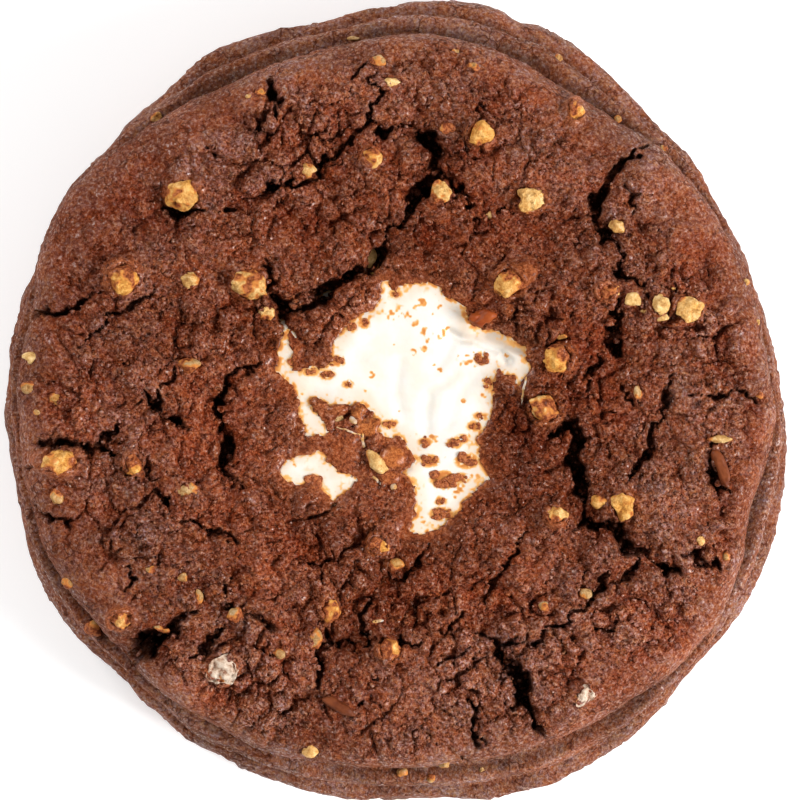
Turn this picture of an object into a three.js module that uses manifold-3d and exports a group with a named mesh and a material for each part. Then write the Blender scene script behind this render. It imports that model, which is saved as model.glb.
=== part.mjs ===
// A stuffed s'mores cookie: a thick round of dark cocoa dough that slumped into folds as it
// baked, cracked over its top and tore open in the middle, where its marshmallow filling shows.
// Lumps of crushed biscuit and shards of chocolate sit half sunk in the top.
//
// Millimetres, +Z up. The origin is on the table, under the middle of the cookie.

import * as THREE from "three";
import { mergeVertices } from "three/addons/utils/BufferGeometryUtils.js";
import Module from "manifold-3d";

// ---- Driving dimensions ----

const FOOT_RADIUS = 45.2; // the dough's widest line, low on the side
const RIM_RADIUS = 42.9; // the edge of the cracked top
const THICKNESS = 26; // table to the crest of the top
const CREST_DROP = 0.5; // room under that for the top's unevenness
const HOLLOW = 2; // how far the middle has sunk below the crest
const HOLLOW_REACH = 0.36; // how wide the sunk middle is, as a share of the way to the rim
const SHOULDER_FALL = 5; // how far the top rounds down to the rim
const SHOULDER_REACH = 8; // how far in from the rim the rounding starts
const SHOULDER_BULGE = 2.4; // how full the rounding is
const BASE_TUCK = 3.2; // how far the flat base stays inside the foot
const FOLD_DEPTH = 1; // the grooves between the rolls of the side
const MID_ROLL = 0.55; // where the middle roll stands, between the rim and the foot

const FOLD_WANDER = 0.6; // how far the rolls rise and dip round the cookie

const AROUND = 60; // steps round the cookie
const GAP = 0.3; // room between pieces that touch

const CRACK_TOP = 24.5; // the height that a crack's depth is counted from
const CRACK_DEPTH = 5; // for a crack a millimetre wide
const CRACK_STRAY = 0.3; // how far a crack strays from its route
const CRACK_STEP = 2; // from one turn of a crack to the next

const ABOVE = THICKNESS + 2; // a height clear of the top, for cutting

const FILLING_FLOOR = 15; // underside of the marshmallow
const FILLING_POOL = 4.5; // thickness of the part of it that lies under the dough
const FILLING_SINK = 0.7; // how far its skin lies below the dough around it
const FILLING_REACH = 17; // how far its skin is made out from the middle
const FILLING_AROUND = 28; // steps round its skin

const LUMP_HEIGHT = 0.85; // a biscuit lump's height, as a share of its width
const LUMP_PROUD = 0.12; // how far its middle stands above the dough, as a share of its height
const SHARD_THICKNESS = 1.6;
const SEAT_ROOM = 3 * GAP; // how much wider than its piece a seat is

// The outline's swells: how many round the cookie, how high, and the bearing of a crest.
const FOOT_SWELLS = [
  [1, 0.9, -85], [2, 0.8, -74], [3, 0.75, -42], [4, 0.3, -16], [5, 0.3, -2], [8, 0.3, -17],
];
const RIM_SWELLS = [
  [1, 0.8, -108], [2, 1.05, -15], [3, 0.2, -46], [4, 0.25, -34], [5, 0.35, 15], [6, 0.45, 23],
  [7, 0.2, -10], [9, 0.2, -2],
];

// The dough's colours and the finishes of the rest.
const COOKIE = { color: 0x70412e, roughness: 0.95, metalness: 0 };
const MARSHMALLOW = { color: 0xf8efe0, roughness: 0.6, metalness: 0 };
const BISCUIT = { color: 0xd09a55, roughness: 0.85, metalness: 0 };
const CHOCOLATE = { color: 0x6b3a26, roughness: 0.45, metalness: 0 };

// ---- Where things are on the top: each crack's width, then its route ----

const CRACKS = {
  northFork: [1.1, [-3.3, 37], [-3.2, 32.5], [-6.8, 28.7], [-9.8, 25.4], [-15.3, 23]],
  northWide: [1.7, [-2.3, 31], [2.4, 31.4], [4.5, 28], [3.4, 24.6], [1.2, 22]],
  northLip: [1.5, [0.7, 21], [-1.8, 17.5], [-4.6, 14.9], [-8.4, 12.2], [-12.6, 9.6]],
  eastUpper: [1.3, [28.4, 29.4], [25.6, 26], [22.8, 22.6], [24.4, 19], [26, 15.4], [28, 12.6]],
  eastMiddle: [1, [25.5, 11.4], [25.1, 8], [26.2, 4.8]],
  eastThread: [0.8, [31.8, 2.4], [30, -1.5], [29, -5.2], [27.4, -8.9]],
  eastWide: [2, [17.9, -3.6], [20.4, -5.4], [21.3, -10], [23.4, -14.4], [27.2, -17.3], [32.6, -20.2]],
  eastRim: [1, [32.5, -17.7], [35.6, -18.7], [38, -19.6]],
  southLip: [0.9, [23.6, -20.4], [20.6, -24.4], [16.4, -27.4], [11.9, -28.3], [7.2, -28.9]],
  southWide: [2.2, [12, -29.2], [13.9, -32], [14.8, -35], [16.2, -38.4]],
  southPit: [0.8, [8.6, -34.4], [8.8, -37], [10, -39.4]],
  southThread: [0.9, [-2.8, -22.5], [-3.9, -25.5], [-8, -28], [-9, -32.6]],
  westHollow: [2.6, [-23.8, -24.6], [-27, -27.6], [-30.9, -29.8]],
  westLower: [0.9, [-28.2, -10.4], [-25, -13.6], [-20.8, -15.2], [-17.6, -16.6]],
  westBend: [1.4, [-19.8, 2.3], [-21, -1.6], [-19.7, -5.6], [-17.6, -9.4]],
  westMiddle: [1.2, [-30.2, 0.4], [-28, -1], [-23.9, -3.1]],
  westRim: [1, [-40.6, -4.7], [-36.2, -5.1], [-31.8, -6.5]],
  westUpper: [0.8, [-41, 9.7], [-37.6, 10.5], [-34.4, 12.7]],
};

// The tear that the marshmallow shows through, and the smaller one beside it.
const TEAR = [
  [-1.8, 14], [0.4, 12.9], [3.6, 13.4], [5.8, 12], [7.6, 10.4], [9, 8.2], [13.1, 7.4], [14.8, 4.6],
  [13.8, 2.2], [11.5, 3.4], [10.9, 0], [10.3, -3], [9, -4.8], [10.2, -9.2], [8.3, -11.2],
  [5.2, -14.5], [1.8, -15], [2.5, -11], [1.2, -8.6], [2.2, -6.4], [0.3, -4.4], [-2, -3.3],
  [-4.8, -0.3], [-8, -0.4], [-11.4, -2.6], [-11.8, 1.4], [-14, 4], [-12.4, 6.4], [-9.8, 3.9],
  [-7.4, 4.8], [-5.6, 8.9], [-2.6, 11.6],
];
const SIDE_TEAR = [
  [-13.2, -8.3], [-11.2, -6.6], [-8.2, -6.4], [-4.8, -9.3], [-7.4, -11.1], [-9.2, -9.7],
  [-11.4, -9.7],
];
const POOL = { x: -2, y: -1.4, halfLength: 12.6, halfWidth: 10 };

// Each lump of biscuit: its place, length, width, and the bearing that its length points to.
const LUMPS = [
  [-24.6, 23.4, 4.2, 3.3, 10], [-16.8, 13.3, 4.2, 3.6, -50], [-31.4, 14, 4, 3.6, 20],
  [9.7, 30.5, 3.4, 2.4, 35], [15.4, 23.2, 4, 3, 5], [13, 13.6, 4.4, 3, 45],
  [18.8, 4.8, 3.6, 3, 0], [33.7, 10.5, 3.4, 3.2, 10], [30.2, 11, 2.4, 2.2, 60],
  [17.1, -1, 4.6, 2.6, -45], [26, -12.1, 3.2, 3.4, 0], [18.4, -13.3, 2.4, 2.2, 30],
  [-39, -6.9, 4.4, 3, 15], [-30.4, -7.4, 2.2, 3, 0], [-7.6, -24.2, 2, 3.2, 10],
  [-0.8, -28.8, 2.8, 2.6, 20], [-31.7, -25.2, 3.2, 1.8, -40], [21.6, -34, 2.8, 1.8, 35],
  [20.6, 33, 2.2, 2.8, 0], [24.2, 12.4, 2.6, 2, 20], [-2.2, -16.6, 2.4, 2.2, 0],
  [-20, -31, 3.6, 3.4, 20], [4.9, 24, 2.4, 2.2, 45], [-2.8, 28, 2.4, 2, -40],
];

// Each shard of chocolate: its place, length, width and bearing.
const SHARDS = [
  [37.4, -7.8, 4.4, 1.5, -70], [-6.6, -35.2, 4.5, 1.3, -30], [9.9, 9.6, 3, 1.6, 20],
];

// ---- Small helpers ----

const DEGREE = Math.PI / 180;

const wasm = await Module();
wasm.setup();

function swollen(radius, swells, bearing) {
  return swells.reduce(
    (sum, [count, height, crest]) => sum + height * Math.cos(count * (bearing - crest * DEGREE)),
    radius,
  );
}

const footAt = (bearing) => swollen(FOOT_RADIUS, FOOT_SWELLS, bearing);
const rimAt = (bearing) => Math.min(swollen(RIM_RADIUS, RIM_SWELLS, bearing), footAt(bearing) - 0.2);

// A repeatable number from 0 to 1 for a point.
function chance(x, y, z) {
  const wave = Math.sin(x * 12.9898 + y * 78.233 + z * 37.719) * 43758.5453;
  return wave - Math.floor(wave);
}

// The baked top's broad unevenness.
function unevenness(x, y) {
  const long = Math.sin(x / 7.3 + 0.8) * Math.cos(y / 8.1 - 0.4);
  const short = Math.sin((x + y) / 4.4 + 2.1) * Math.cos((x - y) / 5.2);
  return 0.3 * long + 0.2 * short;
}

// Height of the top at a share of the way from the middle to the rim.
function topHeight(share, bearing) {
  const reach = rimAt(bearing);
  const inside = Math.min(share, 1) * reach;
  const edge = Math.max(0, 1 - (reach - inside) / SHOULDER_REACH);
  const fall = SHOULDER_FALL * (1 - Math.sqrt(1 - edge ** SHOULDER_BULGE));
  const sunk = HOLLOW * Math.exp(-((share / HOLLOW_REACH) ** 2));
  const relief = unevenness(inside * Math.cos(bearing), inside * Math.sin(bearing));
  return THICKNESS - CREST_DROP - fall - sunk + relief * (1 - edge);
}

function surfaceAt(x, y) {
  const bearing = Math.atan2(y, x);
  return topHeight(Math.hypot(x, y) / rimAt(bearing), bearing);
}

// A closed solid of rings round the Z axis, from the middle of its base to the middle of its top.
// Each ring is a function that gives a radius and a height for a bearing.
function ringSolid(rings, around, base, crown) {
  const places = [0, 0, base];
  const faces = [];
  const at = (ring, step) => 1 + ring * around + (step % around);
  for (const ring of rings) {
    for (let step = 0; step < around; step++) {
      const bearing = (step / around) * 2 * Math.PI;
      const [radius, height] = ring(bearing);
      places.push(radius * Math.cos(bearing), radius * Math.sin(bearing), height);
    }
  }
  const last = rings.length - 1;
  const crownPoint = places.length / 3;
  places.push(0, 0, crown);
  for (let step = 0; step < around; step++) {
    faces.push(0, at(0, step + 1), at(0, step));
    faces.push(crownPoint, at(last, step), at(last, step + 1));
    for (let ring = 0; ring < last; ring++) {
      faces.push(at(ring, step), at(ring, step + 1), at(ring + 1, step + 1));
      faces.push(at(ring, step), at(ring + 1, step + 1), at(ring + 1, step));
    }
  }
  const geometry = new THREE.BufferGeometry();
  geometry.setAttribute("position", new THREE.Float32BufferAttribute(places, 3));
  geometry.setIndex(faces);
  return geometry;
}

function toSolid(geometry) {
  const plain = geometry.clone();
  plain.deleteAttribute("normal");
  plain.deleteAttribute("uv");
  const merged = mergeVertices(plain, 1e-5);
  return new wasm.Manifold(new wasm.Mesh({
    numProp: 3,
    vertProperties: new Float32Array(merged.attributes.position.array),
    triVerts: new Uint32Array(merged.index.array),
  }));
}

function toGeometry(solid) {
  const mesh = solid.getMesh();
  const geometry = new THREE.BufferGeometry();
  geometry.setAttribute("position", new THREE.BufferAttribute(mesh.vertProperties, 3));
  geometry.setIndex(new THREE.BufferAttribute(mesh.triVerts, 1));
  geometry.computeVertexNormals();
  return geometry;
}

function named(name, geometry, finish) {
  const mesh = new THREE.Mesh(geometry, new THREE.MeshStandardMaterial(finish));
  mesh.name = name;
  return mesh;
}

// A closed outline moved outwards by a distance.
function grown(outline, distance) {
  return outline.map((point, index) => {
    const before = outline[(index + outline.length - 1) % outline.length];
    const after = outline[(index + 1) % outline.length];
    const along = after.clone().sub(before).normalize();
    return new THREE.Vector2(point.x - distance * along.y, point.y + distance * along.x);
  });
}

function column(outline, low, high) {
  const geometry = new THREE.ExtrudeGeometry(new THREE.Shape(outline), {
    depth: high - low,
    bevelEnabled: false,
  });
  geometry.translate(0, 0, low);
  return toSolid(geometry);
}

// ---- Dough ----

// The rolls of the side, from the base to the rim: each is a share of the height to the rim, where
// it stands between the rim line (0) and the foot (1), and how far it is tucked in.
const SIDE_ROLLS = [
  [0, 1, BASE_TUCK], [0.06, 1, 0.9], [0.2, 1, 0], [0.34, 1, 0.35],
  [0.44, 0.8, FOLD_DEPTH], [0.54, MID_ROLL, 0], [0.66, MID_ROLL, 0.3],
  [0.76, MID_ROLL / 2, FOLD_DEPTH], [0.86, 0, 0.15],
];
const TOP_SHARES = [1, 0.975, 0.93, 0.87, 0.78, 0.67, 0.55, 0.44, 0.34, 0.24, 0.13];

function doughBlank() {
  const sides = SIDE_ROLLS.map(([rise, lean, tuck]) => (bearing) => {
    const rim = rimAt(bearing);
    const wander = FOLD_WANDER * Math.sin(2 * bearing + 9 * rise);
    const radius = rim + lean * (footAt(bearing) - rim) - tuck;
    return [radius, rise * (topHeight(1, bearing) + wander)];
  });
  const tops = TOP_SHARES.map((share) => (bearing) => [
    share * rimAt(bearing), topHeight(share, bearing),
  ]);
  return toSolid(ringSolid([...sides, ...tops], AROUND, 0, topHeight(0, 0)));
}

// A crack is a slot that narrows to both ends and wanders a little about its route.
function crackSlot([width, ...route]) {
  const curve = new THREE.SplineCurve(route.map(([x, y]) => new THREE.Vector2(x, y)));
  const steps = Math.max(4, Math.round(curve.getLength() / CRACK_STEP));
  const left = [];
  const right = [];
  for (let step = 0; step <= steps; step++) {
    const share = step / steps;
    const point = curve.getPointAt(share);
    const along = curve.getTangentAt(share);
    const aside = new THREE.Vector2(-along.y, along.x);
    const stray = CRACK_STRAY * (2 * chance(point.x, point.y, 0) - 1);
    const uneven = 0.75 + 0.5 * chance(point.y, point.x, 1);
    const half = Math.max(0.12, 0.5 * width * uneven * Math.sin(Math.PI * share) ** 0.5);
    left.push(point.clone().addScaledVector(aside, stray + half));
    right.unshift(point.clone().addScaledVector(aside, stray - half));
  }
  return column([...left, ...right], CRACK_TOP - CRACK_DEPTH * width ** 0.5, ABOVE);
}

// ---- Marshmallow ----

function tearOutline(points) {
  const corners = points.map(([x, y]) => new THREE.Vector3(x, y, 0));
  const curve = new THREE.CatmullRomCurve3(corners, true, "centripetal");
  const outline = curve.getPoints(points.length * 2).slice(0, -1);
  return outline.map((point) => new THREE.Vector2(point.x, point.y));
}

// The filling as it fills its hollow, grown by a margin: two necks that rise through the tears
// from the pool under the dough.
function fillingBlank(margin) {
  const low = FILLING_FLOOR - margin;
  const pool = new THREE.EllipseCurve(
    POOL.x, POOL.y, POOL.halfLength + margin, POOL.halfWidth + margin,
  );
  const base = column(pool.getPoints(32).slice(0, -1), low, FILLING_FLOOR + FILLING_POOL + margin);
  const necks = [TEAR, SIDE_TEAR].map((tear) => column(grown(tearOutline(tear), margin), low, ABOVE));
  return base.add(necks[0]).add(necks[1]);
}

// Its skin: soft folds that fall away to the right, a little below the dough.
function fillingSkin() {
  const fold = (x, y) => 0.45 * Math.sin((x - 0.6 * y) / 2.6) + 0.3 * Math.sin((x + 2 * y) / 3.1 + 1);
  const below = FILLING_FLOOR - 1;
  const skin = [1, 0.84, 0.68, 0.52, 0.36, 0.18].map((share) => (bearing) => {
    const radius = share * FILLING_REACH;
    const x = radius * Math.cos(bearing);
    const y = radius * Math.sin(bearing);
    return [radius, surfaceAt(x, y) - FILLING_SINK + fold(x, y)];
  });
  const wall = () => [FILLING_REACH, below];
  const crown = surfaceAt(0, 0) - FILLING_SINK + fold(0, 0);
  return toSolid(ringSolid([wall, ...skin], FILLING_AROUND, below, crown));
}

// ---- Biscuit and chocolate ----

// A broken lump: a ball of flat facets, pushed in and out at random.
function lumpGeometry(length, width, height, seed) {
  const ball = new THREE.IcosahedronGeometry(1, 1);
  ball.deleteAttribute("normal");
  ball.deleteAttribute("uv");
  const lump = mergeVertices(ball, 1e-4);
  const place = lump.attributes.position;
  for (let index = 0; index < place.count; index++) {
    const [x, y, z] = [place.getX(index), place.getY(index), place.getZ(index)];
    const push = 0.88 + 0.2 * chance(x + seed, y, z);
    place.setXYZ(index, (x * push * length) / 2, (y * push * width) / 2, (z * push * height) / 2);
  }
  lump.computeVertexNormals();
  return lump;
}

// A shard: a thin bar with its long edges shaved.
function shardGeometry(length, width) {
  const bevel = width / 5;
  const outline = new THREE.Shape();
  outline.moveTo(-length / 2 + bevel, -width / 2 + bevel);
  outline.lineTo(length / 2 - bevel, -width / 3 + bevel / 2);
  outline.lineTo(length / 2.4 - bevel, width / 2 - bevel);
  outline.lineTo(-length / 2.2 + bevel, width / 3 - bevel / 2);
  outline.closePath();
  const shard = new THREE.ExtrudeGeometry(outline, {
    depth: SHARD_THICKNESS - 2 * bevel,
    bevelSize: bevel,
    bevelThickness: bevel,
    bevelSegments: 1,
  });
  shard.translate(0, 0, -SHARD_THICKNESS / 2 + bevel);
  return shard;
}

// The piece's seat in the dough: the piece itself, grown by a little more than the gap all round.
function seat(mesh) {
  mesh.updateMatrixWorld(true);
  const geometry = mesh.geometry.clone();
  geometry.computeBoundingBox();
  const size = geometry.boundingBox.getSize(new THREE.Vector3());
  geometry.scale(...["x", "y", "z"].map((axis) => 1 + SEAT_ROOM / size[axis]));
  geometry.applyMatrix4(mesh.matrixWorld);
  return toSolid(geometry);
}

function lay(mesh, x, y, bearing, lift) {
  mesh.position.set(x, y, surfaceAt(x, y) + lift);
  mesh.rotation.z = bearing * DEGREE;
  return mesh;
}

// ---- The cookie, put together ----

const lumps = LUMPS.map(([x, y, length, width, bearing], index) => {
  const height = LUMP_HEIGHT * Math.min(length, width);
  const geometry = lumpGeometry(length, width, height, index);
  const name = `biscuit_lump_${String(index + 1).padStart(2, "0")}`;
  return lay(named(name, geometry, BISCUIT), x, y, bearing, LUMP_PROUD * height);
});

const shards = SHARDS.map(([x, y, length, width, bearing], index) => {
  const mesh = named(`chocolate_shard_${index + 1}`, shardGeometry(length, width), CHOCOLATE);
  return lay(mesh, x, y, bearing, 0);
});

let dough = doughBlank().subtract(fillingBlank(GAP));
for (const crack of Object.values(CRACKS)) {
  dough = dough.subtract(crackSlot(crack));
}
for (const piece of [...lumps, ...shards]) {
  dough = dough.subtract(seat(piece));
}
const marshmallow = fillingBlank(0).intersect(fillingSkin());

const cookie = new THREE.Group();
cookie.add(named("cookie_dough", toGeometry(dough), COOKIE));
cookie.add(named("marshmallow_filling", toGeometry(marshmallow), MARSHMALLOW));
cookie.add(...lumps, ...shards);

export default cookie;
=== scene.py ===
import math

import bmesh
import bpy
import numpy as np
from mathutils import Matrix, Vector
from mathutils.bvhtree import BVHTree


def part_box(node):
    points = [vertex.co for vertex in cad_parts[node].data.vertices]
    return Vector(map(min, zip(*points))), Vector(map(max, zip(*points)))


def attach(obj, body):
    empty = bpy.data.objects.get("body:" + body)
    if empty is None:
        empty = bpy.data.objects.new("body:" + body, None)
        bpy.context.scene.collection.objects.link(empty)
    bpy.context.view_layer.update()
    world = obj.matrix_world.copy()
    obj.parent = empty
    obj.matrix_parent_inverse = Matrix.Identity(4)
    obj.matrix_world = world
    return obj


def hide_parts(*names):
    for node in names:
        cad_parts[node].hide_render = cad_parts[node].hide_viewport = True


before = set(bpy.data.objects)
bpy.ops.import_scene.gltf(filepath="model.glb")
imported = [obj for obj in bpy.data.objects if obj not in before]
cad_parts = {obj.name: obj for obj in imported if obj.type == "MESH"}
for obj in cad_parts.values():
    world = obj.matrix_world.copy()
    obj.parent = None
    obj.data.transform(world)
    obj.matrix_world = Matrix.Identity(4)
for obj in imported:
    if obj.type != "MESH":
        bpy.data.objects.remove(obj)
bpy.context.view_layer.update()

# ---- Cookie dough ----------------------------------------------------------------------------
# One thick round of dark cocoa dough. It slumped into rolls at its side as it baked, and its top
# dried, cracked into plates and crumbled. Its mesh is a disc with a skirt, laid over the form of
# the CAD dough; the crumb, the cracks, the tears and the dough round each lump are worked into it.

MM = 0.001
TURN = 2 * math.pi
FAR = 99.0  # further than anything on the cookie, in millimetres
DISC_CORNERS = 6
DOUGH_RINGS = 172  # from the middle of the top to the rim
SKIRT_RINGS = 48  # from the rim to the base
BASE_RINGS = 10
DOUGH_TRIANGLES = 198000

RIM_RADIUS = 42.9
FOOT_RADIUS = 45.45
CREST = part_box("cookie_dough")[1].z / MM - 0.4
HOLLOW, HOLLOW_REACH = 2.0, 0.36
SHOULDER_FALL, SHOULDER_REACH, SHOULDER_BULGE = 5.0, 8.0, 2.4
# Gentle swells of the top: how high, how long, and where they start.
LONG_SWELL, LONG_X, LONG_Y, LONG_START_X, LONG_START_Y = 0.3, 7.3, 8.1, 0.8, 0.4
SHORT_SWELL, SHORT_UP, SHORT_DOWN, SHORT_START = 0.2, 4.4, 5.2, 2.1
RIM_OVERHANG = 0.2  # the foot always stands out past the rim by this
FOLD_WANDER = 0.6

# Swells of the outline: how many round the cookie, how high, and the bearing of a crest.
RIM_SWELLS = [
    (1, 0.8, -108), (2, 1.05, -15), (3, 0.2, -46), (4, 0.25, -34), (5, 0.35, 15), (6, 0.45, 23),
    (7, 0.2, -10), (9, 0.2, -2),
]
FOOT_SWELLS = [(1, 0.9, -85), (2, 0.8, -74), (3, 0.75, -42), (4, 0.3, -16), (5, 0.3, -2), (8, 0.3, -17)]
# Local swellings: the bearing, how far to each side they reach, and how high.
RIM_DENTS = [
    (145, 5, 0.5), (165, 5, -0.5), (178, 5, 0.5), (196, 4, -0.4), (308, 5, -0.4), (325, 6, 0.4),
    (343, 5, -0.6), (357, 4, 0.5), (44, 5, 0.3),
]
FOOT_DENTS = [
    (38, 6, 0.45), (72, 2, -0.5), (102, 6, -0.3), (118, 4, 0.5), (148, 4, 0.45), (160, 4, -0.6),
    (183, 4, 0.55), (224, 4, -0.45), (238, 4, 0.6), (274, 5, -0.35), (290, 5, 0.35), (314, 5, -0.3),
]

# The rolls of the side from the rim down: a share of the rim's height, where the roll stands between
# the rim line (0) and the foot (1), and how far the upper and the lower fold tuck it in, in millimetres.
SIDE_ROLLS = [
    (1, 0, 0, 0), (0.965, 0.02, 0.1, 0), (0.93, 0.05, 2.3, 0), (0.915, 0.32, 1.3, 0), (0.885, 0.5, 0, 0),
    (0.8, 0.56, 0, 0), (0.7, 0.58, 0, 0.2), (0.665, 0.62, 0, 2.3), (0.65, 0.85, 0, 1.3), (0.58, 1, 0, 0),
    (0.35, 1, 0, 0), (0.1, 1, 0, 0), (0, 1, 0, 0),
]
FOOT_CURVE, FOOT_HEIGHT = 3.0, 0.16  # how far the foot curves in, below which share of the height
# How strong the two folds are round the cookie, and how wide the smooth, unbroken rim of the top is.
UPPER_FOLD = 0.35
UPPER_SWELLS = [(62, 30, 0.8), (118, 18, 0.5), (-30, 30, 0.8), (214, 14, 0.5), (-82, 16, 0.4)]
LOWER_FOLD = 0.1
LOWER_SWELLS = [(58, 26, 1), (184, 16, 0.6), (118, 14, 0.3), (-30, 12, 0.4)]
SMOOTH_RIM = 3
SMOOTH_SWELLS = [(140, 32, 8), (38, 23, 8), (205, 16, 8), (-48, 18, 2)]
# The crease under each fold: how far down it lies from the rim (0) to the foot (1), and its width.
UPPER_CREASE, LOWER_CREASE = (0.26, 0.035), (0.65, 0.03)
ROLL_STEPS = 400  # steps that the rolls are read in
ROLL_WINDOW = 27  # steps over which a roll is rounded
FOLD_DETAIL = 9  # how fast the folds' wander turns with height
SIDE_SPREAD = 28.0  # how wide the side is when it is laid flat
TEAR_REACH = 22.0  # the tears end within this radius
FLOOR_CLEARANCE = 0.04

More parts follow.
